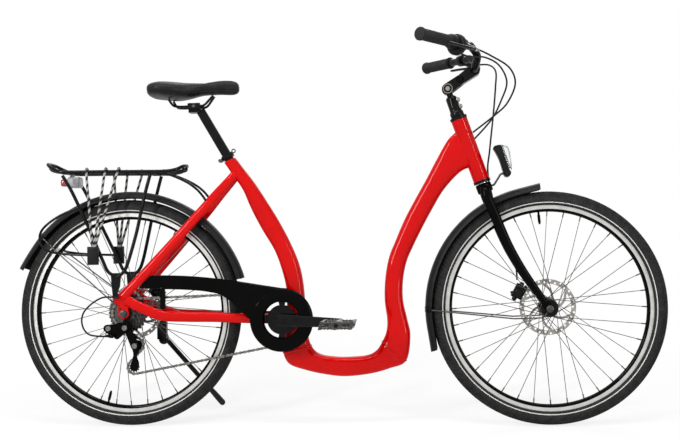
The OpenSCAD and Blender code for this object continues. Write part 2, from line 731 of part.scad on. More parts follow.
// Fork
crown_drop = 23;
crown_r = 13;
crown_hub_r = 21;
steerer_low = 8;
crown_at = head_foot - crown_drop * steer_up;
blade_y = front_half_old + tab_t;
front_hub_at = [wheelbase, 0, axle_z];
blade_path = [crown_at + [-2, 36, 4], crown_at + [6.5, blade_y - 10, -23],
    crown_at + [20.5, blade_y - 7, -63],
    front_hub_at + [-114, blade_y - 5, 183], front_hub_at + [-82, blade_y - 3, 122],
        front_hub_at + [-52, blade_y - 1, 74],
    front_hub_at + [-26, blade_y, 36], front_hub_at + [-14, blade_y, 20]];
module blade_tube(grow = 0) {
    oval_rod(smooth(blade_path, 3), 14 + grow, 10.5 + grow, 9 + grow, 7 + grow);
}
module fork() {
    color(black) parked() welded() difference() {
        union() {
            rod(smooth([[crown_at[0], -38, crown_at[2] - 2], crown_at, [crown_at[0], 38, crown_at[2] - 2]],
                3), crown_r,
                ref = [0, 0, 1], sides = 16);
            along(crown_at, steer_up) cylinder(r = crown_hub_r, h = 2 * crown_r, center = true, $fn = 48);
            for (m = [0, 1]) mirror([0, m, 0]) {
                blade_tube();
                side_plate(front_half_old + seat_gap, front_half_old + tab_t) difference() {
                    union() {
                        translate([wheelbase, axle_z]) circle(r = 13);
                        polygon([[wheelbase - 30, axle_z + 26], [wheelbase - 8, axle_z + 30],
                            [wheelbase + 12, axle_z + 6],
                            [wheelbase - 12, axle_z - 6]]);
                    }
                    translate([wheelbase, axle_z]) circle(r = front_axle_r + run_fit);
                }
            }
        }
        along(crown_at, steer_up) cylinder(r = steerer_r + seat_gap, h = 4 * crown_r, center = true,
            $fn = 96);
        for (m = [0, 1]) mirror([0, m, 0]) across([wheelbase, 0, axle_z])
            translate([0, 0, -front_half_old - tab_t - nut_t])
                cylinder(r = front_axle_r + 6, h = nut_t, $fn = 48);
    }
}
stem_rise = 92;
stem_foot = head_len + cup_h + side_gap;
stem_pivot = head_foot + (head_len + stem_rise) * steer_up;
module steerer() {
    color(steel) parked() along(crown_at - steerer_low * steer_up, steer_up)
        cylinder(r = steerer_r, h = steerer_low + crown_drop + head_len + cup_h + 30);
}

// Stem, handlebar and controls
bar_back = 15;
bar_over = 311;
bar_at = head_foot + [-bar_back, 0, bar_over];
clamp_bar_r = bar_r + seat_gap;
stem_half_w = 20;
pivot_r = 17;
stem_base_r = 18;
stem_neck_w = 17;
stem_base_h = stem_rise + head_len - stem_foot - pivot_r - 4;
module stem_base() {
    color(black) parked() {
        along(head_foot + stem_foot * steer_up, steer_up) {
            difference() {
                cylinder(r = stem_base_r, h = stem_base_h);
                translate([0, 0, -1]) cylinder(r = steerer_r + seat_gap, h = 33);
            }
            translate([-stem_neck_w / 2, -stem_neck_w / 2, stem_base_h - 1])
                cube([stem_neck_w, stem_neck_w, stem_rise + head_len - stem_foot - stem_base_h]);
        }
        across(stem_pivot) cylinder(r = pivot_r, h = stem_half_w, center = true);
    }
}
module stem_arm() {
    color(black) parked() difference() {
        across([0, 0, 0]) linear_extrude(2 * stem_half_w, center = true) hull() {
            translate([stem_pivot[0], stem_pivot[2]]) circle(r = pivot_r - 1);
            translate([bar_at[0], bar_at[2]]) circle(r = 17);
        }
        across(bar_at) cylinder(r = clamp_bar_r, h = 4 * stem_half_w, center = true);
        across(stem_pivot) cylinder(r = pivot_r + 5, h = stem_half_w + 2 * seat_gap, center = true);
    }
}
grip_end = head_foot + [-157, bar_half_w, grip_rise];
grip_dir = unit([-75, 111, 3]);
grip_in = grip_end - grip_len * grip_dir;
// The bar is straight in the stem, rises in a bend on each side, and is straight again from bar_bend out
bar_bend = grip_in - 104 * grip_dir;
bar_flat = stem_half_w + 8;
bar_rise = bar_bend[1] - bar_flat;
bar_path = [bar_at + [0, stem_half_w + 2, 0], bar_at + [0, bar_flat, 0],
    bar_at + [3, bar_flat + 0.225 * bar_rise, 8],
    bar_at + [8, bar_flat + 0.576 * bar_rise, 30], bar_bend, grip_in - 92 * grip_dir, grip_in - 47 * grip_dir,
    grip_in, (grip_in + grip_end) / 2, grip_end - 5 * grip_dir];
module handlebar() {
    color(black) parked() rod(smooth(both(bar_path), 3), bar_r, ref = [1, 0, 0.3], sides = 16);
}
module grip() {
    along(grip_in, grip_dir) difference() {
        cylinder(r = grip_r, h = norm(grip_end - grip_in));
        translate([0, 0, -1]) cylinder(r = bar_r + seat_gap, h = norm(grip_end - grip_in) - 3);
    }
}
module grips() {
    color(rubber) parked() for (m = [0, 1]) mirror([0, m, 0]) grip();
}
module twist_shifter() {
    color(black) parked() mirror([0, 1, 0]) along(grip_in - 44 * grip_dir, grip_dir) difference() {
        union() {
            cylinder(r = 20, h = 43);
            translate([5, 0, 0]) cylinder(r = 29, h = 17);
        }
        translate([0, 0, -1]) cylinder(r = bar_r + seat_gap, h = 50);
    }
}
lever_at = grip_in - 60 * grip_dir;
lever_out = unit([grip_dir[1], -grip_dir[0], -0.45]);
lever_path = [lever_at + 34 * lever_out - 8 * grip_dir, lever_at + 42 * lever_out + 12 * grip_dir,
    lever_at + 40 * lever_out + 50 * grip_dir, lever_at + 38 * lever_out + 110 * grip_dir];
module brake_levers() {
    color(black) parked() for (m = [0, 1]) mirror([0, m, 0]) welded() {
        along(grip_in - 70 * grip_dir, grip_dir) difference() {
            cylinder(r = 17, h = 20, $fn = 48);
            translate([0, 0, -1]) cylinder(r = bar_r + seat_gap, h = 40, $fn = 48);
        }
        rod([lever_at + 13 * lever_out, lever_at + 40 * lever_out], 8, ref = [0, 0, 1]);
        oval_rod(smooth(lever_path, 3), 6, 4, 5, 3.5, ref = [0, 0, 1]);
    }
}

// Mudguards: a curved sheet from one angle to another, about the wheel's axle
guard_arc_r = guard_half_w + 1.5;
guard_drop = guard_arc_r - sqrt(guard_arc_r * guard_arc_r - guard_half_w * guard_half_w);
module mudguard(r, a0, a1) {
    rotate([0, 0, a0]) rotate_extrude(angle = a1 - a0, $fn = 128) difference() {
        intersection() {
            translate([r - guard_arc_r, 0]) circle(r = guard_arc_r, $fn = 48);
            translate([r - guard_drop, -guard_half_w]) square([40, 2 * guard_half_w]);
        }
        translate([r - guard_arc_r, 0]) circle(r = guard_arc_r - guard_t, $fn = 48);
    }
}
module rear_mudguard() {
    color(black) parked() wheel_at(0) {
        mudguard(rear_guard_r, 16, 158);
        rotate([0, 0, atan2(bridge_at[2] - axle_z, bridge_at[0])]) translate([rear_guard_r - 1, -6, -6])
            cube([norm([bridge_at[0], bridge_at[2] - axle_z]) - bridge_r - seat_gap - rear_guard_r + 1, 12,
                12]);
    }
}
module front_mudguard() {
    a = atan2(crown_at[2] - axle_z, crown_at[0] - wheelbase);
    color(black) parked() wheel_at(wheelbase) {
        mudguard(front_guard_r, 93, 200);
        rotate([0, 0, a]) translate([front_guard_r - 1, -6, -6])
            cube([norm([crown_at[0] - wheelbase,
                crown_at[2] - axle_z]) - crown_r - seat_gap - front_guard_r + 1.2, 12, 12]);
    }
}
stay_rod_r = 2;
guard_clip_y = guard_half_w + stay_rod_r + seat_gap;
rear_eye_y = hanger_y + stay_rod_r + seat_gap;
front_eye_y = front_half_old + tab_t + stay_rod_r + seat_gap;
rear_clip_angle = 139;
rear_clip_r = rear_guard_r - guard_drop + 1;
rear_clip = [rear_clip_r * cos(rear_clip_angle), guard_clip_y, axle_z + rear_clip_r * sin(rear_clip_angle)];
front_clip_x = front_guard_r - guard_drop + 1;
module rear_mudguard_stays() {
    color(dark_steel) parked() for (m = [0, 1]) mirror([0, m, 0])
        rod([rear_clip, [0.79 * rear_clip[0], guard_clip_y + 12, axle_z + 0.79 * (rear_clip[2] - axle_z)],
            [-80, stay_y + 3, axle_z + 76], [-14, rear_eye_y, axle_z + 19], [-8, rear_eye_y, axle_z + 12]],
                stay_rod_r);
}
module front_mudguard_stays() {
    color(dark_steel) parked() for (m = [0, 1]) mirror([0, m, 0])
        rod([front_hub_at + [-front_clip_x, guard_clip_y, -2],
            front_hub_at + [-0.83 * front_clip_x, guard_clip_y + 4, -8],
            front_hub_at + [-98, blade_y, -26], front_hub_at + [-18, front_eye_y, -24],
            front_hub_at + [-8, front_eye_y, -9]], stay_rod_r);
}

// Carrier
deck_path = [[-236, 0, carrier_z + 27], [-232, 30, carrier_z + 25], [-214, 52, carrier_z + 14],
    [-186, carrier_half_w, carrier_z + 2],
    [-150, carrier_half_w, carrier_z], [-60, carrier_half_w, carrier_z - 1],
        [60, carrier_half_w, carrier_z - 3],
    [120, carrier_half_w - 6, carrier_z - 3], [150, 46, carrier_z + 2], [166, 24, carrier_z + 12],
        [171, 0, carrier_z + 15]];
deck_bar_r = 3.5;
// Curved strut from the deck's front bar to the seatstay on each side
strut_top = [118, 40, carrier_z - 2];
strut_foot = [238, 35.5, 632];
// Shares of the way along x and down from the strut's top to its foot
strut_rows = [[0, 0], [0.183, 0.141], [0.392, 0.253], [0.6, 0.394], [0.79, 0.586], [0.933, 0.808], [1, 1]];
strut = [for (q = strut_rows) [strut_top[0] + q[0] * (strut_foot[0] - strut_top[0]),
    strut_top[1] + q[1] * (strut_foot[1] - strut_top[1]),
        strut_top[2] + q[1] * (strut_foot[2] - strut_top[2])]];
module carrier_deck() {
    color(black) parked() welded() {
        for (m = [0, 1]) mirror([0, m, 0]) rod(smooth(deck_path, 3), carrier_r, ref = [0, 0, 1], sides = 10);
        for (y = [-20, 20]) rod([[-232, y, carrier_z + 25], [-186, y, carrier_z], [130, y, carrier_z - 3],
            [164, y, carrier_z + 11]], deck_bar_r);
        for (x = [-170, -60, 50, 118]) rod([[x, -carrier_half_w + 3, carrier_z - 1],
            [x, carrier_half_w - 3, carrier_z - 1]], deck_bar_r, ref = [0, 0, 1]);
        for (m = [0, 1]) mirror([0, m, 0]) difference() {
            rod(smooth(strut, 2), deck_bar_r);
            seatstay_tube(seat_gap);
        }
    }
}
leg_y = carrier_half_w + 2;
foot_plate_y = hanger_y + seat_gap / 2;
leg_drop = carrier_z - 2 * carrier_r - seat_gap;
rear_leg = [[-178, leg_y - 2, leg_drop], [-150, leg_y, leg_drop - 47], [-100, leg_y + 2, 570],
    [-58, foot_plate_y + 2, 478], [-42, foot_plate_y + 3, 446], [-17, foot_plate_y + 4, 430]];
front_leg = [[80, leg_y - 2, leg_drop], [60, leg_y, leg_drop - 73], [40, leg_y + 3, 560],
    [18, foot_plate_y + 2, 478], [4, foot_plate_y + 3, 446], [-17, foot_plate_y + 4, 430]];
hoop = [0.58 * rear_leg[1] + 0.42 * rear_leg[2], [-190, leg_y + 2, 606], [-236, leg_y + 2, 572],
    [-246, leg_y + 2, 540], [-226, leg_y + 2, 510], [-170, leg_y + 2, 498], [-66, foot_plate_y + 1, 492]];
module carrier_legs() {
    color(black) parked() for (m = [0, 1]) mirror([0, m, 0]) welded() {
        rod(smooth(rear_leg, 3), carrier_r);
        rod(smooth(front_leg, 3), carrier_r);
        rod(smooth(hoop, 3), 3.5);
        side_plate(foot_plate_y, foot_plate_y + 8)
            polygon([[-34, 442], [-4, 442], [-8, 404], [-15, 386], [-15, 370], [-28, 370], [-31, 400]]);
    }
}
// Elastic straps from the deck down to a clip block on each side
strap_r = 4;
strap_top_y = carrier_half_w + carrier_r + strap_r + seat_gap;
clip_y = hanger_y + 10;
right_straps = [-106, -50, -12];
right_clip = [-82, 512];
left_straps = [-66, -24, 22];
left_clip = [-60, 512];
module strap_set(tops, foot) {
    welded() {
        for (x = tops) rod([[x, strap_top_y, carrier_z + 3],
            [foot[0] + (x - foot[0]) * 0.06, clip_y + 4.5, foot[1]]], strap_r);
        translate([foot[0] - 16, clip_y, foot[1] - 46]) cube([32, 9, 52]);
    }
}
module bungee_straps() {
    color(rubber) parked() {
        mirror([0, 1, 0]) strap_set(right_straps, right_clip);
        strap_set(left_straps, left_clip);
    }
}
tail_z = carrier_z - 43;
module tail_lamp() {
    color(silver) parked() {
        translate([-178, -24, tail_z]) cube([34, 48, 32]);
        translate([-176, -6, tail_z + 30]) cube([12, 12,
            carrier_z - 1 - deck_bar_r - seat_gap - tail_z - 30]);
    }
}
module tail_lens() {
    color(red) parked() translate([-198, -22, tail_z + 4]) cube([20 - seat_gap, 44, 22]);
}

// Brakes and cables
caliper_out = 17;
caliper_slot = 3;
rear_caliper_angle = 41;
front_caliper_angle = 151;
// A caliper whose slot takes the rotor's edge, at an angle about the axle and a reach past the rotor
module caliper(x, y, angle, reach, inner) {
    translate([x, y, axle_z]) rotate([0, -angle, 0]) translate([rotor_r + reach, 0, 0]) difference() {
        translate([-17, -inner, -23]) cube([34, inner + caliper_out, 46]);
        translate([-30, -caliper_slot, -30]) cube([36, 2 * caliper_slot, 60]);
    }
}
module rear_caliper() {
    color(black) parked() {
        caliper(0, rear_rotor_y, rear_caliper_angle, 6, 16);
        welded() difference() {
            translate([74, rear_rotor_y + 6, 336]) cube([14, 11, 40]);
            chainstay_tube(seat_gap);
        }
    }
}
module front_caliper() {
    color(black) parked() {
        caliper(wheelbase, front_rotor_y, front_caliper_angle, 10, 9);
        welded() difference() {
            along(front_hub_at + [-76, front_rotor_y + 11, 44], [0.826, 0, 0.565]) translate([-6, -6, 0])
                cube([12, 12, 35]);
            blade_tube(seat_gap);
        }
    }
}
// Cables leave the brake levers at lever_barrel, and the twist ring's housing at shift_out
cable_r = 2.5;
lever_barrel = lever_at + 36 * lever_out - 34 * grip_dir;
shift_in = grip_in - (44 + cable_r) * grip_dir - [0, 0, 25];
shift_out = [shift_in[0], -shift_in[1], shift_in[2]];
// Points near the bar: x, share of the bar's half width, z; then points near the head tube and fork
front_spread = [[30, 0.367, 342], [48, 0.262, 318], [46, 0.203, 270]];
front_line = [[38, 54, 190], [26, 54, 90], [20, 60, 20]];
blade_line = [[-138, 65, 274], [-102, 66, 182], [-86, 63.5, 114], [-84, 50, 78]];
module gear_cable() {
    color(black) parked() rod(smooth([[-8, -stay_y - 15, 372], [-60, -stay_y - 15, 372],
        [-108, -stay_y - 14, 338], [-118, -stay_y - 14, 300], [-96, -stay_y - 13, 268],
        [-34, -stay_y - 8, 262]], 4), cable_r);
}
module front_brake_cable() {
    color(black) parked() rod(smooth(concat([lever_barrel], spread(front_spread),
        [for (q = front_line) head_foot + q], [for (q = blade_line) front_hub_at + q]), 3), cable_r);
}
rear_spread = [[30, -0.367, 334], [80, -0.262, 305], [97, -0.17, 264], [76, -0.079, 215]];
rear_line = [[42, -14, 183], [-22, -10, 135]];
shift_spread = [[-29, -0.4, 332], [15, -0.236, 336], [55, -0.105, 318], [76, 0, 276]];
shift_line = [[60, 10, 226], [32, 12, 173], [-16.6, 8, 119]];
function spread(rows) = [for (q = rows) head_foot + [q[0], q[1] * bar_half_w, q[2]]];
module control_cables() {
    color(black) parked() {
        rod(smooth(concat(mirror_y([lever_barrel]), spread(rear_spread),
            [for (q = rear_line) head_foot + q]), 3), cable_r);
        rod(smooth(concat([shift_out], spread(shift_spread), [for (q = shift_line) head_foot + q]), 3),
            cable_r);
    }
}

// Lamp on the fork crown
// Side view of the body and of the lens ahead of it, drawn from the crown
lamp_body = [[26, 110], [30, 116], [46, 119], [50, 112], [60.6, 77.5], [70, 50], [75, 42], [72, 33],
    [64, 29.5],
    [56, 33], [51.7, 46.7], [42.5, 78], [30, 104]];
lamp_lens = [[47.2, 119], [65, 117], [72, 104], [75, 88], [77, 64], [76.5, 48], [70.9, 49.8], [61.1, 77.6],
    [50.5, 112]];
lamp_half_w = 27;
module from_crown() {
    translate([crown_at[0], 0, crown_at[2]]) children();
}
module head_lamp() {
    color(black) parked() from_crown() side_plate(-lamp_half_w, lamp_half_w) polygon(lamp_body);
}
module head_lens() {
    color(silver) parked() from_crown() side_plate(2 - lamp_half_w, lamp_half_w - 2) polygon(lamp_lens);
}
crown_front = [sin(head_angle), 0, cos(head_angle)];
lamp_rod = [[38, 0, 25], [46, 0, 37.2], [53.4, 0, 39.7]];
module lamp_bracket() {
    color(dark_steel) parked() from_crown() rod(smooth(concat([(crown_hub_r + 4 * seat_gap) * crown_front,
        (crown_hub_r + 8) * crown_front], lamp_rod), 3), 3.5);
}

// Side stand
stand_boss_r = 11;
stand_boss_t = 14;
module stand_bracket() {
    color(black) parked() {
        along(stand_pin - (stand_boss_t / 2 + 22) * stand_axis, stand_axis)
            cylinder(r = stand_pin_r, h = stand_boss_t + 26);
        along(stand_pin - (stand_boss_t / 2 + side_gap + 16) * stand_axis, stand_axis)
            cylinder(r = 14, h = 16);
        welded() difference() {
            translate([stand_pin[0] - 14, 58, stand_pin[2] - 4]) cube([28, 16, 84]);
            chainstay_tube(seat_gap);
        }
    }
}
module stand_leg() {
    color(black) parked() {
        difference() {
            union() {
                along(stand_pin - stand_boss_t / 2 * stand_axis, stand_axis)
                    cylinder(r = stand_boss_r, h = stand_boss_t);
                along(stand_pin, stand_dir) cylinder(r = 7, h = stand_len);
            }
            along(stand_pin - 40 * stand_axis, stand_axis) cylinder(r = stand_pin_r + run_fit, h = 80);
        }
        translate(stand_pin + stand_len * stand_dir) sphere(r = foot_r);
    }
}

main_frame();
head_tube();
headset_cups();
bottom_bracket();
chainstays();
seatstays();
dropouts();
seat_clamp();
seat_post();
saddle_rails();
saddle();
chain_guard();
chain();
derailleur();
rear_mudguard();
rear_mudguard_stays();
carrier_deck();
carrier_legs();
bungee_straps();
tail_lamp();
tail_lens();
rear_caliper();
gear_cable();
stand_bracket();
rear_axle();
steerer();
fork();
stem_base();
stem_arm();
handlebar();
grips();
twist_shifter();
brake_levers();
front_mudguard();
front_mudguard_stays();
front_caliper();
head_lamp();
head_lens();
lamp_bracket();
front_axle();
front_brake_cable();
control_cables();
tyre_front();
rim_front();
spokes_front();
hub_front();
rotor_front();
tyre_rear();
rim_rear();
spokes_rear();
hub_rear();
rotor_rear();
cassette();
crankset();
chainring();
pedal_left();
pedal_right();
stand_leg();
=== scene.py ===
# %% [markdown]
# # A step-through city bicycle
# The solids of this bicycle come packed from its CAD source, leaning on the side stand as it parks.
# This lesson gives them their looks. Every new piece is a surface worked out with numpy: an array of
# points, some rows by some columns, that becomes a mesh in one go.

# %% Load the solids
import json

import bpy
import numpy as np
from mathutils import Matrix


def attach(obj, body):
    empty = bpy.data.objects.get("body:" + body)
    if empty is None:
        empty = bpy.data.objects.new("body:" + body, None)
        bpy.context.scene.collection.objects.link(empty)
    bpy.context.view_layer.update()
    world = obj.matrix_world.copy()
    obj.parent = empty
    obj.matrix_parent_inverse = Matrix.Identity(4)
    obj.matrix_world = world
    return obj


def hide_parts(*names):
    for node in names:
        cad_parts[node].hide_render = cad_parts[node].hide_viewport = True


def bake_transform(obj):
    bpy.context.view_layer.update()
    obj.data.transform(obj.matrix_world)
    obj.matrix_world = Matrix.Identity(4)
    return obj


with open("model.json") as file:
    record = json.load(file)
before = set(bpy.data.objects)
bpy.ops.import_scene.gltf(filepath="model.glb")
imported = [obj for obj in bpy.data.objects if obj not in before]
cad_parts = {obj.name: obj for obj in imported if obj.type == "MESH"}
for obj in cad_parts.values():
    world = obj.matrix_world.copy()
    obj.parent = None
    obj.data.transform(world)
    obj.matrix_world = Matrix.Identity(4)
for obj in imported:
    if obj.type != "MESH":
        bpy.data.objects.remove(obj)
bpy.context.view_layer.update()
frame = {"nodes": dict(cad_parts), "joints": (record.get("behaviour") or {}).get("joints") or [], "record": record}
joints = {j["name"]: j for j in frame["joints"]}
print("solids:", len(frame["nodes"]), "joints:", ", ".join(joints))

# %% [markdown]
# A leaning bicycle is awkward to draw, so all pieces are drawn upright, in millimetres: x forward
# from the rear axle, y to the left, z up from the floor. The rear wheel's joint says how far the
# parked bicycle leans and where its axle is, and one function takes drawn points to their place.

# %% Upright drawing, parked place
TYRE_R = 326.0
axle_dir = np.array(joints["rear_wheel_spin"]["axis"])
rear_axle = np.array(joints["rear_wheel_spin"]["pos_m"])
LEAN = np.arctan2(-axle_dir[2], axle_dir[1])
TURN = np.array([[1, 0, 0], [0, np.cos(LEAN), np.sin(LEAN)], [0, -np.sin(LEAN), np.cos(LEAN)]])


def park(p):
    """Upright millimetres to the parked bicycle's metres: turn about the rear axle, then move there."""
    return rear_axle + ((np.asarray(p, float) - [0, 0, TYRE_R]) / 1000) @ TURN.T


def unpark(p):
    """The other way: the parked bicycle's metres to upright millimetres."""
    return ((np.asarray(p, float) - rear_axle) @ TURN) * 1000 + [0, 0, TYRE_R]


REAR = np.array([0, 0, TYRE_R])
FRONT = unpark(joints["front_wheel_spin"]["pos_m"])
CRANK = unpark(joints["crank_spin"]["pos_m"])
HEAD_FOOT = unpark(joints["steering"]["pos_m"])
STEER_UP = np.array(joints["steering"]["axis"]) @ TURN
print("lean %.2f deg, wheelbase %.0f mm, crank at" % (np.degrees(LEAN), FRONT[0]), CRANK.round(0))

# %% [markdown]
# A mesh could be typed vertex by vertex, but a surface is easier to think of as a sheet of graph
# paper bent in space. grid() takes such a sheet, closes it where asked and lists its faces. Each
# corner also keeps its place on the flat sheet, so that a material can follow the surface.

# %% Sheets of points


def grid(points, ring=True, loop=False):
    """Faces and map of a sheet of points (rows, columns, 3). ring joins the last column to the first,
    loop the last row to the first, and a sheet with only one of the two gets caps at its ends. Six
    times its volume is the sum of corner . (corner x corner) over the faces: below 0, all are turned."""
    rows, cols = points.shape[:2]
    at = np.arange(rows * cols).reshape(rows, cols)
    at_w = np.hstack([at, at[:, :1]]) if ring else at
    at_w = np.vstack([at_w, at_w[:1]]) if loop else at_w
    down, across = (np.linspace(0, 1, k) for k in at_w.shape)
    uv = np.stack(np.meshgrid(down, across, indexing="ij"), -1)
    this, after = slice(None, -1), slice(1, None)
    around = [(this, this), (this, after), (after, after), (after, this)]
    quads = np.stack([at_w[k] for k in around], -1).reshape(-1, 4)
    marks = np.stack([uv[k] for k in around], 2).reshape(-1, 4, 2)
    ends = [at[0, ::-1], at[-1]] if ring and not loop else []
    ends = [at[:, 0], at[::-1, -1]] if loop and not ring else ends
    v = points.reshape(-1, 3)
    a, b, c, d = (v - v.mean(0))[quads.T]
    volume = np.einsum("ij,ij->i", a, np.cross(b, c) + np.cross(c, d)).sum()
    if volume < 0:
        quads, marks, ends = quads[:, ::-1], marks[:, ::-1], [e[::-1] for e in ends]
    return v, quads, marks, ends


print("a closed sheet of 3 by 4 points has", len(grid(np.zeros((3, 4, 3)))[1]), "faces and 2 caps")

# %% [markdown]
# A piece of the bicycle is often several sheets. build() joins them into one object, parks it, hangs
# it on the body that it moves with, and says which solids it takes the place of.

# %% Pieces


def build(name, sheets, finish, body, stands_for=(), sharp=40):
    """One object from a list of sheets. It rides on body, if one is named, and takes the place of the
    solids in stands_for. Edges that turn by more than sharp degrees stay crisp."""
    verts, faces, marks, start = [], [], [], 0
    for v, quads, uv, ends in sheets:
        verts.append(v)
        faces += (quads + start).tolist() + [(e + start).tolist() for e in ends]
        marks += [uv.reshape(-1, 2)] + [np.zeros((len(e), 2)) for e in ends]
        start += len(v)
    mesh = bpy.data.meshes.new(name)
    mesh.from_pydata(park(np.vstack(verts)), [], faces)
    mesh.uv_layers.new(name="UVMap").data.foreach_set("uv", np.vstack(marks).ravel())
    mesh.shade_smooth()
    mesh.set_sharp_from_angle(angle=np.radians(sharp))
    mesh.materials.append(finish[0])
    piece = bpy.data.objects.new(name, mesh)
    bpy.context.collection.objects.link(piece)
    if body:
        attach(piece, body)
    if stands_for:
        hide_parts(*stands_for)
    mesh.calc_loop_triangles()
    print("%s: %d triangles" % (name, len(mesh.loop_triangles)))
    return piece


# %% [markdown]
# Nearly everything on a bicycle is a tube or a turned part. Blender's own curve objects could draw
# the tubes, but then the section couldn't change freely along the way. So the path is worked out
# first: curve() draws it smoothly through a few points.

# %% Curves


def unit(v):
    """Vectors scaled to length one."""
    v = np.asarray(v, float)
    return v / np.linalg.norm(v, axis=-1, keepdims=True)


def curve(points, steps=8):
    """A smooth line through points: cubic pieces whose slope at a point is half the chord of its
    neighbours."""
    p = np.asarray(points, float)
    a, b, c, d = np.vstack([p[:1], p[:-2]]), p[:-1], p[1:], np.vstack([p[2:], p[-1:]])
    t = (np.arange(steps) / steps)[None, :, None]
    a, b, c, d = (q[:, None] for q in (a, b, c, d))
    line = 0.5 * (2 * b + (c - a) * t + (2 * a - 5 * b + 4 * c - d) * t ** 2
                  + (3 * b - a - 3 * c + d) * t ** 3)
    return np.vstack([line.reshape(-1, p.shape[1]), p[-1:]])


print("a curve through 3 points has", len(curve([[0, 0, 0], [1, 0, 0], [2, 1, 0]])), "points")

# %% [markdown]
# A tube is an oval carried along a path, with a width and a depth that may change on the way. A wire
# or a bar that ends in the open is a rod, whose ends are rounded off.

# %% Tubes and rods


def oval(sides, square):
    """Angles round an oval, with their cosine and sine raised to the power 2/square, so 2 is an ellipse
    and more is squarer."""
    a = np.linspace(0, 2 * np.pi, sides, endpoint=False)
    return a, *(np.sign(f) * np.abs(f) ** (2 / square) for f in (np.cos(a), np.sin(a)))


def tube(path, across, along=None, sides=20, up=(0, 1, 0), square=2.0):
    """Oval carried along a path: centre + across*cos*side + along*sin*up."""
    path = np.asarray(path, float)
    across = np.broadcast_to(across, len(path))
    along = across if along is None else np.broadcast_to(along, len(path))
    t = unit(np.gradient(path, axis=0))
    side = unit(np.cross(t, up))
    rise = np.cross(side, t)
    _, c, s = oval(sides, square)
    return (path[:, None] + (across[:, None] * c)[..., None] * side[:, None]
            + (along[:, None] * s)[..., None] * rise[:, None])


def rod(path, r, sides=16, up=(0, 1, 0)):
    """A round rod whose ends are domed: extra rings shrink as the cosine while they move out by the
    sine."""
    path = np.asarray(path, float)
    a = np.radians([0, 30, 60, 85])
    first, last = unit(path[0] - path[1]), unit(path[-1] - path[-2])
    head = path[0] - first * r + first * r * np.sin(a)[::-1, None]
    tail = path[-1] - last * r + last * r * np.sin(a)[:, None]
    size = np.concatenate([r * np.cos(a)[::-1], np.full(len(path) - 2, r), r * np.cos(a)])
    return tube(np.vstack([head, path[1:-1], tail]), size, sides=sides, up=up)


print("a rod through 3 points has %d rings of %d points" % rod(np.eye(3), 0.1).shape[:2])

# %% [markdown]
# A lathe spins a profile about a line. Nuts, collars and grips are made so, and Blender's Screw
# modifier could do it too. Here it is one array, whose edge can have flutes as well.

# %% Turned parts


def turned(profile, place, direction, steps=64, flutes=0, depth=0.0):
    """Profile of (radius, distance along) spun about a line from place along direction. Flutes are a
    cosine of the given depth, that many times round."""
    w = unit(direction)
    s = unit(np.cross(w, [0, 0, 1] if abs(w[2]) < 0.9 else [1, 0, 0]))
    u = np.cross(w, s)
    a = np.linspace(0, 2 * np.pi, steps, endpoint=False)
    r, h = np.asarray(profile, float).T
    spun = np.cos(a)[:, None, None] * s + np.sin(a)[:, None, None] * u
    reach = r[None, :] + depth * np.cos(flutes * a)[:, None]
    return np.asarray(place, float) + reach[..., None] * spun + h[None, :, None] * w


def lathe(profile, place, direction, steps=48, **more):
    """A turned solid, closed at both ends of its profile."""
    return grid(turned(profile, place, direction, steps, **more), ring=False, loop=True)


def flat_ring(r0, r1, h0, h1):
    """Profile of a plain ring between two radii and two heights: out, up and back in."""
    return [[r0, h0], [r1, h0], [r1, h1], [r0, h1]]


plain = lathe(flat_ring(1, 2, 0, 1), (0, 0, 0), (0, 1, 0))
print("a ring turned in 48 steps has", len(plain[1]), "faces and 2 caps")

# %% [markdown]
# Much of a bicycle lies about a wheel's axle, so one function places points by radius and angle
# there. wheel_turn() carries a profile round the axle and may stop short of a full turn, as a mudguard
# does. What comes on both sides of the bicycle is drawn once and mirrored.

# %% About an axle, and in pairs


def wheel_point(axle, r, angle, y):
    """Points at a radius and an angle about an axle, y to the side: x = r*cos and z = r*sin from it."""
    r, angle, y = np.broadcast_arrays(r, angle, y)
    return np.stack([axle[0] + r * np.cos(angle), y, axle[2] + r * np.sin(angle)], -1)


def wheel_turn(profile, axle, start=0, end=360, steps=240):
    """Profile of (radius, y) carried about a wheel's axle, from an angle to another, counted up from
    straight ahead."""
    a = np.radians(np.linspace(start, end, steps, endpoint=end - start < 360))
    r, y = np.asarray(profile, float).T
    return wheel_point(axle, r, a[:, None], y)


def beside(point, y=0):
    """A point moved sideways into the plane y."""
    return np.array([point[0], y, point[2]])


def mirror(points):
    """The same points on the other side of the bicycle."""
    return points * [1, -1, 1]


def pair(points, **how):
    """A sheet and its mirror image."""
    return [grid(points, **how), grid(mirror(points), **how)]


print("straight ahead of the rear axle, on the tyre:", wheel_point(REAR, TYRE_R, 0, 0))

# %% [markdown]
# ## Finishes
# Paint, rubber, steel and plastic differ in gloss and in what breaks it up close: orange peel in
# paint, grain in rubber, brush marks in steel. What they share goes into node groups, which are built
# once and placed in each material. Both groups begin with noise in the object's own coordinates.

# %% Node groups and their noise
FLOAT, VECTOR = "NodeSocketFloat", "NodeSocketVector"


def group(name, inputs, outputs):
    """An empty shader node group with its sockets: names and kinds of what goes in and comes out."""
    g = bpy.data.node_groups.new(name, "ShaderNodeTree")
    for word, kind in inputs:
        g.interface.new_socket(word, in_out="INPUT", socket_type=kind)
    for word, kind in outputs:
        g.interface.new_socket(word, in_out="OUTPUT", socket_type=kind)
    return g, g.nodes.new("NodeGroupInput"), g.nodes.new("NodeGroupOutput")


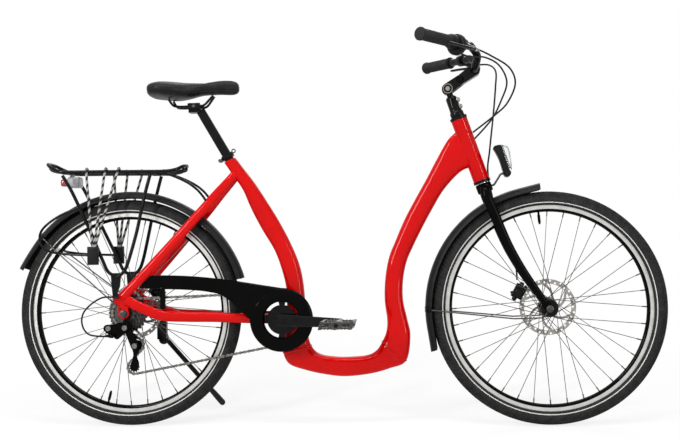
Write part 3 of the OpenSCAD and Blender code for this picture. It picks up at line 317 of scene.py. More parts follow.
def noise_in(g, into, detail):
    """Noise on Object coordinates in a group, as fine as its Scale says."""
    place, noise = g.nodes.new("ShaderNodeTexCoord"), g.nodes.new("ShaderNodeTexNoise")
    noise.inputs["Detail"].default_value = detail
    g.links.new(place.outputs["Object"], noise.inputs["Vector"])
    g.links.new(into.outputs["Scale"], noise.inputs["Scale"])
    return noise.outputs["Fac"]


print("sockets are of two kinds:", FLOAT, VECTOR)

# %% [markdown]
# One group gives a fine bump, the other a cloudy mask that varies tone and gloss over a surface.

# %% Grain and cloud


def make_grain():
    """Fine bump: noise of a given scale raises and lowers the surface by a given height in metres."""
    g, into, out = group("fine_grain", [("Scale", FLOAT), ("Height", FLOAT)], [("Normal", VECTOR)])
    bump = g.nodes.new("ShaderNodeBump")
    g.links.new(noise_in(g, into, 3), bump.inputs["Height"])
    g.links.new(into.outputs["Height"], bump.inputs["Distance"])
    g.links.new(bump.outputs["Normal"], out.inputs["Normal"])
    return g


def make_cloud():
    """Cloudy mask: the middle of a noise's range, stretched between a low and a high level."""
    g, into, out = group("soft_cloud", [("Scale", FLOAT), ("Low", FLOAT), ("High", FLOAT)],
                         [("Mask", FLOAT)])
    span = g.nodes.new("ShaderNodeMapRange")
    span.inputs["From Min"].default_value, span.inputs["From Max"].default_value = 0.3, 0.7
    g.links.new(noise_in(g, into, 6), span.inputs["Value"])
    g.links.new(into.outputs["Low"], span.inputs["To Min"])
    g.links.new(into.outputs["High"], span.inputs["To Max"])
    g.links.new(span.outputs["Result"], out.inputs["Mask"])
    return g


GRAIN, CLOUD = make_grain(), make_cloud()
print("node groups:", GRAIN.name, CLOUD.name)

# %% [markdown]
# A finish is a material made from these groups: a dark and a light tone that the cloud mixes, a gloss
# that varies a little, and a bump. The coat on top of paint is set on the shader itself.

# %% Making a finish
COAT_ROUGHNESS = 0.04
GLOSS_FINER = 2.3


def finish(name, slot, dark, light, rough, cloud=30.0, grain=(900.0, 0.0002), metal=0.0, coat=0.0,
           level=0.5):
    """Material with tone mixed between dark and light and roughness between the pair rough. cloud is
    how fine that mix is, grain the scale and height of the bump, level the shine under the coat."""
    m = bpy.data.materials.new(name)
    m.use_nodes = True
    n, link = m.node_tree.nodes, m.node_tree.links.new
    shader = n["Principled BSDF"]
    shader.inputs["Metallic"].default_value = metal
    shader.inputs["Coat Weight"].default_value = coat
    shader.inputs["Coat Roughness"].default_value = COAT_ROUGHNESS
    shader.inputs["Specular IOR Level"].default_value = level
    tone, gloss, bump = (n.new("ShaderNodeGroup") for _ in range(3))
    tone.node_tree, gloss.node_tree, bump.node_tree = CLOUD, CLOUD, GRAIN
    tone.inputs["Scale"].default_value, tone.inputs["High"].default_value = cloud, 1.0
    gloss.inputs["Scale"].default_value = cloud * GLOSS_FINER
    gloss.inputs["Low"].default_value, gloss.inputs["High"].default_value = rough
    bump.inputs["Scale"].default_value, bump.inputs["Height"].default_value = grain
    mix = n.new("ShaderNodeMix")
    mix.data_type = "RGBA"
    mix.inputs["A"].default_value, mix.inputs["B"].default_value = (*dark, 1), (*light, 1)
    link(tone.outputs["Mask"], mix.inputs["Factor"])
    link(mix.outputs["Result"], shader.inputs["Base Color"])
    link(gloss.outputs["Mask"], shader.inputs["Roughness"])
    link(bump.outputs["Normal"], shader.inputs["Normal"])
    return m, slot


def grey(v):
    """A colour without a hue."""
    return v, v, v


print("a finish is a material and the name of its slot")

# %% [markdown]
# Paint, plastic and rubber are not metals: their tone is their base colour. Blacks are never fully
# black, and what tells them apart is the gloss.

# %% Paint, plastic and rubber
RED = finish("red_gloss_paint", "red_paint", (0.53, 0.0, 0.0), (0.60, 0.0, 0.0), (0.22, 0.28),
             cloud=12, grain=(700, 0.00001), coat=0.3, level=0.0)
BLACK = finish("black_satin_paint", "black_paint", (0.003, 0.003, 0.0035), (0.006, 0.006, 0.0065),
               (0.2, 0.28), grain=(1200, 0.00002), coat=0.18, level=0.03)
GLOSS = finish("black_gloss_paint", "black_gloss", grey(0.001), grey(0.002), (0.14, 0.2),
               cloud=14, grain=(600, 0.00001), coat=0.09, level=0.0)
PLASTIC = finish("black_moulded_plastic", "black_plastic", grey(0.006), grey(0.012), (0.36, 0.46),
                 grain=(1600, 0.00006), level=0.1)
TYRE = finish("tyre_rubber", "tyre_rubber", grey(0.010), grey(0.024), (0.6, 0.75),
              cloud=60, grain=(1400, 0.00015), level=0.14)
GRIP = finish("grip_rubber", "grip_rubber", grey(0.010), grey(0.018), (0.5, 0.65),
              grain=(1800, 0.0001), level=0.16)
COVER = finish("saddle_cover", "saddle_cover", grey(0.006), grey(0.012), (0.38, 0.48),
               cloud=40, grain=(1500, 0.00008), level=0.14)
STRAP = finish("strap_webbing", "strap_rubber", grey(0.010), grey(0.02), (0.6, 0.75),
               grain=(1500, 0.0002), level=0.2)
GREY = finish("grey_plastic", "silver_plastic", (0.30, 0.31, 0.32), (0.38, 0.39, 0.40), (0.3, 0.42),
              grain=(1300, 0.00005))
print("finishes without metal:", RED[0].name, "and eight more")

# %% [markdown]
# A metal's base colour is what it reflects, so dark steel is a dark mirror. The clear lens lets light
# through, and the red one is deep red under a coat.

# %% Metals and lenses
DISC = finish("rotor_steel", "steel", (0.30, 0.285, 0.26), (0.42, 0.40, 0.37), (0.24, 0.38), metal=1.0,
              cloud=80, grain=(900, 0.00002))
STEEL = finish("bright_steel", "steel", (0.50, 0.50, 0.51), (0.62, 0.62, 0.63), (0.2, 0.34), metal=1.0,
               cloud=80, grain=(900, 0.00002))
ALLOY = finish("rim_alloy", "rim_metal", (0.52, 0.51, 0.49), (0.64, 0.63, 0.61), (0.28, 0.42), metal=1.0,
               cloud=50, grain=(1400, 0.00003))
DARK = finish("dark_steel", "dark_metal", grey(0.045), (0.10, 0.095, 0.09), (0.3, 0.45), metal=1.0,
              cloud=120, grain=(1100, 0.00004))
LINK = finish("chain_steel", "dark_metal", (0.13, 0.125, 0.115), (0.24, 0.23, 0.21), (0.26, 0.4), metal=1.0,
              cloud=160, grain=(1100, 0.00003))
REDLENS = finish("red_lens", "red_lens", (0.25, 0.006, 0.006), (0.36, 0.01, 0.01), (0.08, 0.14), coat=0.5)
CLEAR = finish("clear_lens", "clear_lens", (0.86, 0.88, 0.9), (0.94, 0.95, 0.96), (0.03, 0.06))
CLEAR[0].node_tree.nodes["Principled BSDF"].inputs["Transmission Weight"].default_value = 1.0
shiny = (DISC, STEEL, ALLOY, DARK, LINK, REDLENS, CLEAR)
print("metals and lenses:", ", ".join(f[0].name for f in shiny))

# %% [markdown]
# The solids that stay as they are, such as the head tube and the seat post, take the finish that the
# record names for them.

# %% Finishes of the solids
FINISH_OF = {f[1]: f for f in (RED, BLACK, GLOSS, PLASTIC, TYRE, GRIP, COVER, STEEL, ALLOY, DARK, STRAP,
                               GREY, REDLENS, CLEAR)}
for part in frame["record"]["subparts"]:
    for place in frame["nodes"][part["node"]].material_slots:
        place.material = FINISH_OF[part["material_slot"]][0]
print("slots with a finish:", len(FINISH_OF))

# %% [markdown]
# ## Camera and light
# The camera stands where the photograph's camera stood. That place was found on the upright
# bicycle, so it leans with it: in the picture the bicycle stands straight and the floor tips.

# %% Camera
FOCAL_PX, IMAGE_W, SENSOR_MM = 1170.0, 680.0, 36.0
CAMERA_AT = np.array([957.0, -3321.0, 514.0])
YAW, PITCH, ROLL = np.radians([5.88, -1.20, -0.94])
look = np.array([-np.sin(YAW) * np.cos(PITCH), np.cos(YAW) * np.cos(PITCH), -np.sin(PITCH)])
level = np.array([np.cos(YAW), np.sin(YAW), 0])
rise = np.cross(level, look)
right = level * np.cos(ROLL) + rise * np.sin(ROLL)
rise = rise * np.cos(ROLL) - level * np.sin(ROLL)
camera = bpy.data.objects.new("camera", bpy.data.cameras.new("camera"))
bpy.context.collection.objects.link(camera)
pose = np.eye(4)
pose[:3, :3] = TURN @ np.stack([right, rise, -look], 1)
pose[:3, 3] = park(CAMERA_AT)
camera.matrix_world = Matrix(pose.tolist())
camera.data.sensor_width = SENSOR_MM
camera.data.lens = FOCAL_PX * SENSOR_MM / IMAGE_W
bpy.context.scene.camera = camera
print("camera at", pose[:3, 3].round(3))

# %% [markdown]
# The background is white because the camera is shown white there, and not because it is flooded with
# light. Gloss and glass are shown the same white. All other rays meet a dim, even world.

# %% World
WORLD_LIGHT = 0.13


def reckon(n, link, operation, first, second=0.0):
    """One sum in a node tree, of two sockets or of a socket and a number."""
    node = n.new("ShaderNodeMath")
    node.operation = operation
    link(first, node.inputs[0])
    if isinstance(second, float):
        node.inputs[1].default_value = second
    else:
        link(second, node.inputs[1])
    return node.outputs[0]


def seen_plainly(n, link):
    """1 for what the camera sees, straight, in gloss or through glass, and otherwise 0."""
    path = n.new("ShaderNodeLightPath").outputs
    straight = reckon(n, link, "MAXIMUM", path["Is Camera Ray"], path["Is Glossy Ray"])
    return reckon(n, link, "MAXIMUM", straight, path["Is Transmission Ray"])


def backdrop(strength):
    """World that is white where it is seen and lights the rest at strength."""
    world = bpy.context.scene.world or bpy.data.worlds.new("world")
    bpy.context.scene.world = world
    world.use_nodes = True
    n, link = world.node_tree.nodes, world.node_tree.links.new
    sky, span = n["Background"], n.new("ShaderNodeMapRange")
    sky.inputs["Color"].default_value = (1, 1, 1, 1)
    span.inputs["To Min"].default_value, span.inputs["To Max"].default_value = strength, 1.0
    link(seen_plainly(n, link), span.inputs["Value"])
    link(span.outputs["Result"], sky.inputs["Strength"])


bpy.context.scene.view_settings.view_transform = "Standard"
backdrop(WORLD_LIGHT)
print("world lights at", WORLD_LIGHT)

# %% [markdown]
# Tubes show their shape by the lines of light along them, so three of the lamps are long strips: key
# and fill stand upright beside the camera, and one lies above. A broad one lights the far side.

# %% Lamps of the studio
AIM = (0, 0, 0.5)


def lamp(name, at, to, size, power):
    """A soft lamp, size wide and tall, at a place and turned to another."""
    light = bpy.data.lights.new(name, "AREA")
    light.shape = "RECTANGLE"
    light.size, light.size_y, light.energy = *size, power
    o = bpy.data.objects.new(name, light)
    bpy.context.collection.objects.link(o)
    back = unit(np.asarray(at, float) - to)
    side = unit(np.cross([0, 0, 1], back))
    m = np.eye(4)
    m[:3, :3] = np.stack([side, np.cross(back, side), back], 1)
    m[:3, 3] = at
    o.matrix_world = Matrix(m.tolist())


lamp("key_lamp", (-2.2, -2.6, 2.4), AIM, (0.35, 2.2), 92)
lamp("fill_lamp", (2.8, -2.0, 1.4), (0.2, 0, 0.5), (0.3, 2.2), 36)
lamp("top_lamp", (0.0, -0.8, 3.2), AIM, (3.0, 0.35), 52)
lamp("back_lamp", (0.4, 3.2, 2.6), AIM, (2.6, 2.6), 64)
print("lamps:", len(bpy.data.lights))

# %% [markdown]
# The floor is white paper. To the camera it is mostly plain white, and a share of real paper under
# it keeps the bicycle's shadow. That share fades out with distance, so no edge shows.

# %% Floor
PAPER_SHARE, PAPER_NEAR, PAPER_FAR = 0.2, 0.7, 1.5
FLOOR_HALF = 30


def paper_floor(share, near, far):
    """White paper that turns to plain white where it is seen: wholly from far on, and all but share of
    it within near."""
    m = bpy.data.materials.new("white_paper_floor")
    m.use_nodes = True
    n, link = m.node_tree.nodes, m.node_tree.links.new
    paper, out = n["Principled BSDF"], n["Material Output"]
    paper.inputs["Base Color"].default_value = (*grey(0.95), 1)
    paper.inputs["Roughness"].default_value = 0.9
    glow, both = n.new("ShaderNodeEmission"), n.new("ShaderNodeMixShader")
    place, away, span = (n.new("ShaderNode" + k) for k in ("TexCoord", "VectorMath", "MapRange"))
    away.operation = "LENGTH"
    span.inputs["From Min"].default_value, span.inputs["From Max"].default_value = near, far
    span.inputs["To Min"].default_value = 1 - share
    link(place.outputs["Object"], away.inputs[0])
    link(away.outputs["Value"], span.inputs["Value"])
    link(reckon(n, link, "MULTIPLY", seen_plainly(n, link), span.outputs["Result"]), both.inputs["Fac"])
    link(paper.outputs["BSDF"], both.inputs[1])
    link(glow.outputs["Emission"], both.inputs[2])
    link(both.outputs["Shader"], out.inputs["Surface"])
    return m


floor_mesh = bpy.data.meshes.new("floor")
corners = [(x * FLOOR_HALF, y * FLOOR_HALF, 0) for x, y in ((-1, -1), (1, -1), (1, 1), (-1, 1))]
floor_mesh.from_pydata(corners, [], [(0, 1, 2, 3)])
floor = bpy.data.objects.new("floor", floor_mesh)
bpy.context.collection.objects.link(floor)
floor_mesh.materials.append(paper_floor(PAPER_SHARE, PAPER_NEAR, PAPER_FAR))
print("floor is %d m wide" % (2 * FLOOR_HALF))

# %% [markdown]
# ## The frame
# The main tube is one shaped aluminium tube, deep at the step and slim under the saddle. Each
# station below gives its outer edge, its inner edge and its half width; a squarish oval is
# stretched between the two edges and the stations are joined by a smooth curve. Beads mark where
# the step is welded in.

# %% Main tube
MAIN_STATIONS = [
    [283, 753, 315, 767, 17], [309, 714, 342, 731, 18], [336, 674, 369, 695, 19],
    [361, 616, 405, 639, 20], [391, 558, 438, 584, 21], [425, 500, 471, 520, 22],
    [446, 442, 496, 457, 23], [458, 384, 508, 392, 24], [457, 303, 513, 305, 24],
    [447, 238, 519, 250, 24], [446, 206, 527, 226, 24], [463, 174, 540, 209, 24],
    [508, 157, 561, 199, 24], [560, 145, 588, 195, 24], [622, 138, 624, 193, 24],
    [694, 145, 684, 197, 24], [751, 160, 713, 211, 24], [797, 181, 730, 236, 24],
    [810, 250, 742, 264, 24], [802, 298, 745, 298, 24], [791, 352, 739, 352, 24],
    [792, 409, 741, 409, 23], [803, 461, 752, 470, 22], [821, 502, 773, 522, 22],
    [847, 553, 799, 580, 22], [877, 607, 829, 635, 22], [911, 662, 862, 692, 21],
    [955, 709, 892, 747, 20], [984, 724, 926, 804, 18], [1004, 732, 956, 830, 16]]
STATION_STEPS, WELDED, WELD_R = 8, (10, 17), 2.0


def main_tube(stations, sides=56, square=2.5):
    """Squarish oval between an outer and an inner edge: centre + half chord*cos + half width*sin."""
    ox, oz, ix, iz, half = curve(stations, STATION_STEPS).T
    zero = np.zeros_like(ox)
    centre = np.stack([(ox + ix) / 2, zero, (oz + iz) / 2], 1)
    chord = np.stack([(ix - ox) / 2, zero, (iz - oz) / 2], 1)
    _, c, s = oval(sides, square)
    return (centre[:, None] + chord[:, None] * c[None, :, None]
            + np.stack([zero, half, zero], 1)[:, None] * s[None, :, None])


def closed_tube(row, r, sides, up=(0, 1, 0)):
    """A round tube along a closed row of points. Two points are added at each end for the direction
    there, and left out of the sheet."""
    path = np.vstack([row[-2:], row, row[:2]])
    return grid(tube(path, r, sides=sides, up=up)[2:-2], loop=True)


def bead(row):
    """A weld bead along a ring of the tube. Its up leans out of the ring's plane, so it is never along
    the bead."""
    return closed_tube(row, WELD_R, 10, unit(row[0] - row[len(row) // 2]) + [0.3, 0, 0.2])


shell = main_tube(MAIN_STATIONS)
welds = [bead(shell[STATION_STEPS * k]) for k in WELDED]
build("main_tube", [grid(shell)] + welds, RED, "frame", ["main_frame"])

# %% [markdown]
# The rear triangle is made of oval tubes. They stay wide beside the wheel and draw together where
# they meet the main tube.

# %% Stays
CHAINSTAY = curve([[6, 71, 364], [60, 70, 338], [110, 66, 319], [180, 56, 314], [258, 46, 312],
                   [330, 38, 308], [380, 29, 305], [436, 25, 304]])
SEATSTAY = curve([[-2, 71, 374], [60, 66, 438], [120, 56, 502], [180, 45, 568], [225, 38, 618],
                  [262, 27, 660], [295, 17, 696], [318, 12, 722]])
chain_depth, seat_depth = np.linspace(15, 13, len(CHAINSTAY)), np.linspace(14, 13, len(SEATSTAY))
lower = tube(CHAINSTAY, chain_depth, chain_depth * 0.6, 28)
upper = tube(SEATSTAY, seat_depth, seat_depth * 0.61, 28)
build("chain_stays", pair(lower), RED, "frame", ["chainstays"])
bridge = rod([[219, -40, 612], [219, 40, 612]], 6, 24, up=(0, 0, 1))
build("seat_stays", pair(upper) + [grid(bridge)], RED, "frame", ["seatstays"])

# %% [markdown]
# ## Wheels
# A tyre is a ring of rubber with a shallow block tread, smooth walls and a thin pale stripe. The tread
# could be a bump in the material, but the outline would stay smooth, so it is pressed into the ring:
# where a groove runs, the surface drops by a millimetre or two.

# %% Tyre with its tread
TYRE_SEC, RIM_R, TYRE_COLS = 23.5, 288.0, 69
BLOCKS, LANE_DEG = 180, 15
CROSS_HALF, SPLIT_HALF = 0.11, 0.12
WALL_DEG, GROOVE_DEPTH = [0, 50, 80, 84], [1.8, 1.8, 1.0, 0]


def tyre_sheet(axle, turns=1080):
    """Ring of radius R + (r - groove)*cos about the axle. The grooves run between lanes, and across
    them, half a block further on in every other lane. They fade out down the walls."""
    a = np.linspace(0, 2 * np.pi, turns, endpoint=False)[:, None]
    edge = np.arccos((RIM_R + 0.2 - (TYRE_R - TYRE_SEC)) / TYRE_SEC)
    b = np.linspace(-edge, edge, TYRE_COLS)[None, :]
    w = np.degrees(b) + 0 * a
    run = a * BLOCKS / (2 * np.pi)
    lane = np.round(w / LANE_DEG)
    cross = np.abs(((run + 0.5 * (lane % 2) + np.abs(w) / 90) % 1) - 0.5)
    split = np.abs((w / LANE_DEG + 0.5) % 1 - 0.5)
    groove = np.where((cross < CROSS_HALF) | (split < SPLIT_HALF), 1.0, 0.0)
    r = TYRE_SEC - groove * np.interp(np.abs(w), WALL_DEG, GROOVE_DEPTH)
    return wheel_point(axle, TYRE_R - TYRE_SEC + r * np.cos(b), a, r * np.sin(b))


print("tyre sheet:", tyre_sheet(REAR).shape)

# %% [markdown]
# The stripe is only colour, so the material paints it where the map's second number has the right
# value. That number counts across the tyre, from one edge over the tread to the other.

# %% Tyre stripe
STRIPE_AT, STRIPE_HALF = 0.4197, 0.0125


def painted(material, mask, pale):
    """Paints a finish with a pale colour where mask, made from its nodes and the map's two numbers,
    is 1."""
    n, link = material.node_tree.nodes, material.node_tree.links.new
    tone = n["Principled BSDF"].inputs["Base Color"]
    before = tone.links[0].from_socket
    place, split, mix = (n.new("ShaderNode" + k) for k in ("UVMap", "SeparateXYZ", "Mix"))
    place.uv_map, mix.data_type = "UVMap", "RGBA"
    mix.inputs["B"].default_value = (*pale, 1)
    link(place.outputs["UV"], split.inputs["Vector"])
    link(before, mix.inputs["A"])
    link(mask(n, link, split.outputs), mix.inputs["Factor"])
    link(mix.outputs["Result"], tone)


def wall_stripe(n, link, uv):
    """1 within a hair of one distance from the middle of the map, so on both walls."""
    middle = (TYRE_COLS // 2) / TYRE_COLS
    off = reckon(n, link, "ABSOLUTE", reckon(n, link, "SUBTRACT", uv["Y"], middle))
    off = reckon(n, link, "ABSOLUTE", reckon(n, link, "SUBTRACT", off, STRIPE_AT))
    return reckon(n, link, "LESS_THAN", off, STRIPE_HALF)


painted(TYRE[0], wall_stripe, (0.62, 0.62, 0.6))
for word, axle in (("front", FRONT), ("rear", REAR)):
    ring = grid(tyre_sheet(axle), loop=True)
    build("tyre_" + word + "_rubber", [ring], TYRE, word + "_wheel", ["tyre_" + word])

# %% [markdown]
# The rim is black with a bright band where it was turned, and the spokes cross between it and the
# hub. Each flange holds half of them, leaning forward and back in turn. Each spoke ends in a nipple at
# the rim. They are many, so each has few sides.

# %% Spokes
SPOKES, FLANGE_R, RIM_BED = 36, 26.0, 269.0
SPOKE_SLANT = np.radians(54)
SPOKE_R, NIPPLE_R, NIPPLE_LENGTH = 1.0, 1.9, 13
FLANGE_SIDE, RIM_SIDE = 2.6, 3


def spoke_sheets(axle, flange_y, turn):
    """Straight wires from the flange to the rim: the ends lie a slant apart, forward and back in turn."""
    n = SPOKES // 2
    sheets = []
    for k in range(n):
        way = 1 if k % 2 == 0 else -1
        a = 2 * np.pi * k / n + turn
        side = np.sign(flange_y)
        start = wheel_point(axle, FLANGE_R, a + way * SPOKE_SLANT, flange_y - way * FLANGE_SIDE * side)
        line = np.linspace(start, wheel_point(axle, RIM_BED, a, RIM_SIDE * side), 4)
        sheets.append(grid(tube(line, SPOKE_R, sides=8)))
        tip = np.linspace(line[-1] + NIPPLE_LENGTH * unit(line[0] - line[-1]), line[-1], 3)
        sheets.append(grid(tube(tip, NIPPLE_R, sides=8)))
    return sheets


print("spokes of one flange:", len(spoke_sheets(REAR, 34, 0)) // 2)

# %% [markdown]
# A rim's section is carried once round the axle, and so is the thin band on each of its sides. The
# valve is a stem of a few radii that points at the hub.

# %% Rims
RIM_PROFILE = [[RIM_R, -10.5], [RIM_R, -12.5], [279, -12.6], [274, -12.2], [270, -9], [269, -4], [269, 4],
               [270, 9], [274, 12.2], [279, 12.6], [RIM_R, 12.5], [RIM_R, 10.5], [283, 9], [283, -9]]
BAND_PROFILE = [[RIM_R - 0.5, 12.4], [RIM_R - 0.5, 12.9], [277, 13.0], [277, 12.4]]
VALVE_PLACES, VALVE_SIZES = (270, 262, 261.5, 240, 239.5, 235), [3, 3, 4, 4, 3, 2.6]

for word, axle, flanges, valve_deg in (("front", FRONT, (30, -30), 95), ("rear", REAR, (34, -16), 255)):
    body = word + "_wheel"
    stem = wheel_point(axle, VALVE_PLACES, np.radians(valve_deg), 0)
    valve = grid(tube(stem, VALVE_SIZES, sides=16))
    bed = grid(wheel_turn(RIM_PROFILE, axle), loop=True)
    build("rim_" + word + "_bed", [bed, valve], GLOSS, body, ["rim_" + word])
    build("rim_" + word + "_band", pair(wheel_turn(BAND_PROFILE, axle), loop=True), ALLOY, body)
    wires = spoke_sheets(axle, flanges[0], 0) + spoke_sheets(axle, flanges[1], 2 * np.pi / SPOKES)
    build("spoke_wires_" + word, wires, DARK, body, ["spokes_" + word])

# %% [markdown]
# Flat pieces such as crank arms and dropouts are plates. Their outline is often a few circles with
# a belt around them, so disc_hull() walks round the belt, and plate() gives it thickness and a bevel.
# A block is a box with soft edges.

# %% Plates and blocks


def disc_hull(circles, steps=72):
    """Outline (x, z) round circles (x, z, r): in each direction, the point of the circle that reaches
    farthest."""
    a = np.linspace(0, 2 * np.pi, steps, endpoint=False)
    u = np.stack([np.cos(a), np.sin(a)])
    c = np.asarray(circles, float)
    pick = (c[:, :2] @ u + c[:, 2:]).argmax(0)
    return c[pick, :2] + c[pick, 2:] * u.T


def plate(outline, y0, y1, bevel=1.0):
    """Outline (x, z) carried from y0 to y1. The first and last rings are drawn in along the outline's
    normal."""
    p = np.asarray(outline, float)
    t = unit(np.roll(p, -1, 0) - np.roll(p, 1, 0))
    turn = np.sign((p[:, 0] * np.roll(p[:, 1], -1) - np.roll(p[:, 0], -1) * p[:, 1]).sum())
    inward = turn * np.stack([-t[:, 1], t[:, 0]], 1)
    rings = [(bevel, y0), (0, y0 + bevel), (0, y1 - bevel), (bevel, y1)]
    flat = [np.insert(p + d * inward, 1, y, axis=1) for d, y in rings]
    return grid(np.stack(flat))


def block(low, high, square=6.0):
    """A box with soft edges: a squarish oval carried along x, smaller at both ends."""
    low, high = np.asarray(low, float), np.asarray(high, float)
    mid, half = (low + high) / 2, (high - low) / 2
    soft = min(half) * 0.25
    x = np.array([low[0], low[0] + soft * 0.3, low[0] + soft,
                  high[0] - soft, high[0] - soft * 0.3, high[0]])
    path = np.stack([x, np.full(6, mid[1]), np.full(6, mid[2])], 1)
    drawn = soft * np.array([1, 0.3, 0, 0, 0.3, 1])
    return grid(tube(path, half[1] - drawn, half[2] - drawn, 40, up=(0, 0, 1), square=square))


print("a block has", len(block((0, 0, 0), (1, 1, 1))[1]), "faces and 2 caps")

# %% [markdown]
# ## Fork
# The fork is bent from one tube. Each blade leaves the crown in a tight bend, runs down beside the
# wheel and sweeps forward to the axle, so a single path from axle to axle gives all of it.

# %% Fork
CROWN, BLADE_DEEP = HEAD_FOOT - 23 * STEER_UP, (0.945, 0, 0.327)
half_fork = np.vstack([CROWN + [[0, 0, 0], [0, 18, 0], [0.5, 34, -4], [4, 45, -21], [20.5, 49, -63]],
                       FRONT + [[-114, 51, 183], [-82, 53, 122], [-52, 55, 74], [-26, 56, 36],
                                [-13, 56, 18]]])
fork_path = curve(np.vstack([mirror(half_fork[:0:-1]), half_fork]), 8)
run = np.abs(np.linspace(-1, 1, len(fork_path)))
wide = np.interp(run, [0, 0.3, 0.45, 1], [13, 12, 10.5, 7])
deep = np.interp(run, [0, 0.3, 0.45, 1], [13, 13.5, 14, 9])
fork = tube(fork_path, wide, deep, 32, up=BLADE_DEEP)
tab = disc_hull([[FRONT[0], FRONT[2], 13], [FRONT[0] - 20, FRONT[2] + 27, 9]])
crown_ring = [[16, -13.5], [20, -13], [22, -10], [22, 10], [20, 13], [16, 13.5]]
fork_ends = [plate(tab, 50.2, 56), plate(tab, -56, -50.2)]
build("fork_tube", [grid(fork)] + fork_ends + [lathe(crown_ring, CROWN, STEER_UP)], GLOSS, "steering",
      ["fork"])

# %% [markdown]
# ## Bars and controls
# The bar is straight in the stem, rises in a bend on each side and sweeps back to the grips. One
# half is drawn and mirrored.

# %% Handlebar
GRIP_END = HEAD_FOOT + [-157, 305, 367]
GRIP_DIR = unit([-75, 111, 3])
GRIP_IN = GRIP_END - 134 * GRIP_DIR
BAR = HEAD_FOOT + [-15, 0, 311]
CLAMPED = 28
bend = GRIP_IN - 104 * GRIP_DIR
rising = [BAR + [x, CLAMPED + part * (bend[1] - CLAMPED), z]
          for x, part, z in ((3, 0.225, 8), (8, 0.576, 30))]
half_bar = np.array([BAR + [0, 22, 0], BAR + [0, CLAMPED, 0], *rising, bend, GRIP_IN - 92 * GRIP_DIR,
                     GRIP_IN - 47 * GRIP_DIR, GRIP_IN, GRIP_END - 5 * GRIP_DIR])
bar = tube(curve(np.vstack([mirror(half_bar[::-1]), half_bar]), 8), 11, sides=32, up=(1, 0, 0.3))
build("bent_bar", [grid(bar)], BLACK, "steering", ["handlebar"])

# %% [markdown]
# The grips are turned with rings that a hand can feel: their radius rises and falls by a cosine
# between a collar at the inner end and a knob at the outer one.

# %% Grips
RIB_PITCH, RIB_R, RIB_RISE = 5.5, 15.2, 0.7
h = np.linspace(4, 126, 110)
ribs = np.stack([RIB_R + RIB_RISE * np.cos(2 * np.pi * h / RIB_PITCH), h], 1)
collar = [[12, 0], [17, 0.5], [17.5, 2], [17, 3.5]]
knob = [[17, 127], [18, 129], [18, 133], [16, 135.5], [9, 136.5]]
grip = turned(np.vstack([collar, ribs, knob]), GRIP_IN, GRIP_DIR, 48)
build("ringed_grips", pair(grip, ring=False, loop=True), GRIP, "steering", ["grips"])

# %% [markdown]
# The gears are changed by twisting a fluted ring beside the right grip. Its cable drum hangs a little
# lower than the bar. Both are turned, and mirrored to the right side.

# %% Twist ring
RING_AT = GRIP_IN - 44 * GRIP_DIR
fluted = turned([[14, 16], [19, 16.5], [20, 18], [20, 40], [18, 43], [13, 43.5]], RING_AT, GRIP_DIR, 144,
                flutes=24, depth=0.4)
drum = turned([[14, 0], [25, 0.4], [28, 1.6], [29, 4], [29, 13], [28, 15.5], [25, 17], [14, 17.4]],
              RING_AT - [0, 0, 5], GRIP_DIR, 64)
build("twist_ring", [grid(mirror(q), ring=False, loop=True) for q in (fluted, drum)], PLASTIC, "steering",
      ["twist_shifter"])

# %% [markdown]
# A brake lever is a blade that follows the grip, on a perch that is clamped to the bar. The cable comes
# out of a steel barrel. The lever's places are given outwards from the bar and along the grip.

# %% Brake levers
LEVER = GRIP_IN - 60 * GRIP_DIR
OUT = unit([GRIP_DIR[1], -GRIP_DIR[0], -0.45])
BARREL = LEVER + 36 * OUT - 34 * GRIP_DIR
lever_line = curve([LEVER + out * OUT + along * GRIP_DIR
                    for out, along in ((30, -10), (40, 6), (43, 30), (40, 70), (39, 112))])
size = np.linspace(0, 1, len(lever_line))
blade = tube(lever_line, np.interp(size, [0, 0.1, 0.3, 0.95, 1], [3, 8, 6.5, 5.5, 3]),
             np.interp(size, [0, 0.1, 0.95, 1], [2.5, 4.5, 3.8, 2]), 24, up=(0, 0, 1))
perch = tube(np.linspace(LEVER + 12 * OUT, LEVER + 41 * OUT, 6), [9, 9, 8.5, 8.5, 9, 7],
             [10, 9, 7, 7, 7.5, 6], 24, up=(0, 0, 1), square=3)
clamp = turned([[12, 0], [16.5, 0.5], [17, 2], [17, 18], [16.5, 19.5], [12, 20]], GRIP_IN - 70 * GRIP_DIR,
               GRIP_DIR, 40)
nose = turned([[3, 0], [6, 0.5], [6, 12], [4.5, 14], [4, 22], [3, 23]], BARREL + 24 * GRIP_DIR, -GRIP_DIR, 24)
build("lever_blades", pair(blade) + pair(perch) + pair(clamp, ring=False, loop=True), BLACK, "steering",
      ["brake_levers"])
build("lever_barrels", pair(nose, ring=False, loop=True), DISC, "steering")

# %% [markdown]
# The stem is adjustable: its lower part holds the steerer, and an arm with two cheeks turns on a
# bolt and holds the bar. Cheeks and arm are plates, the rest is turned.

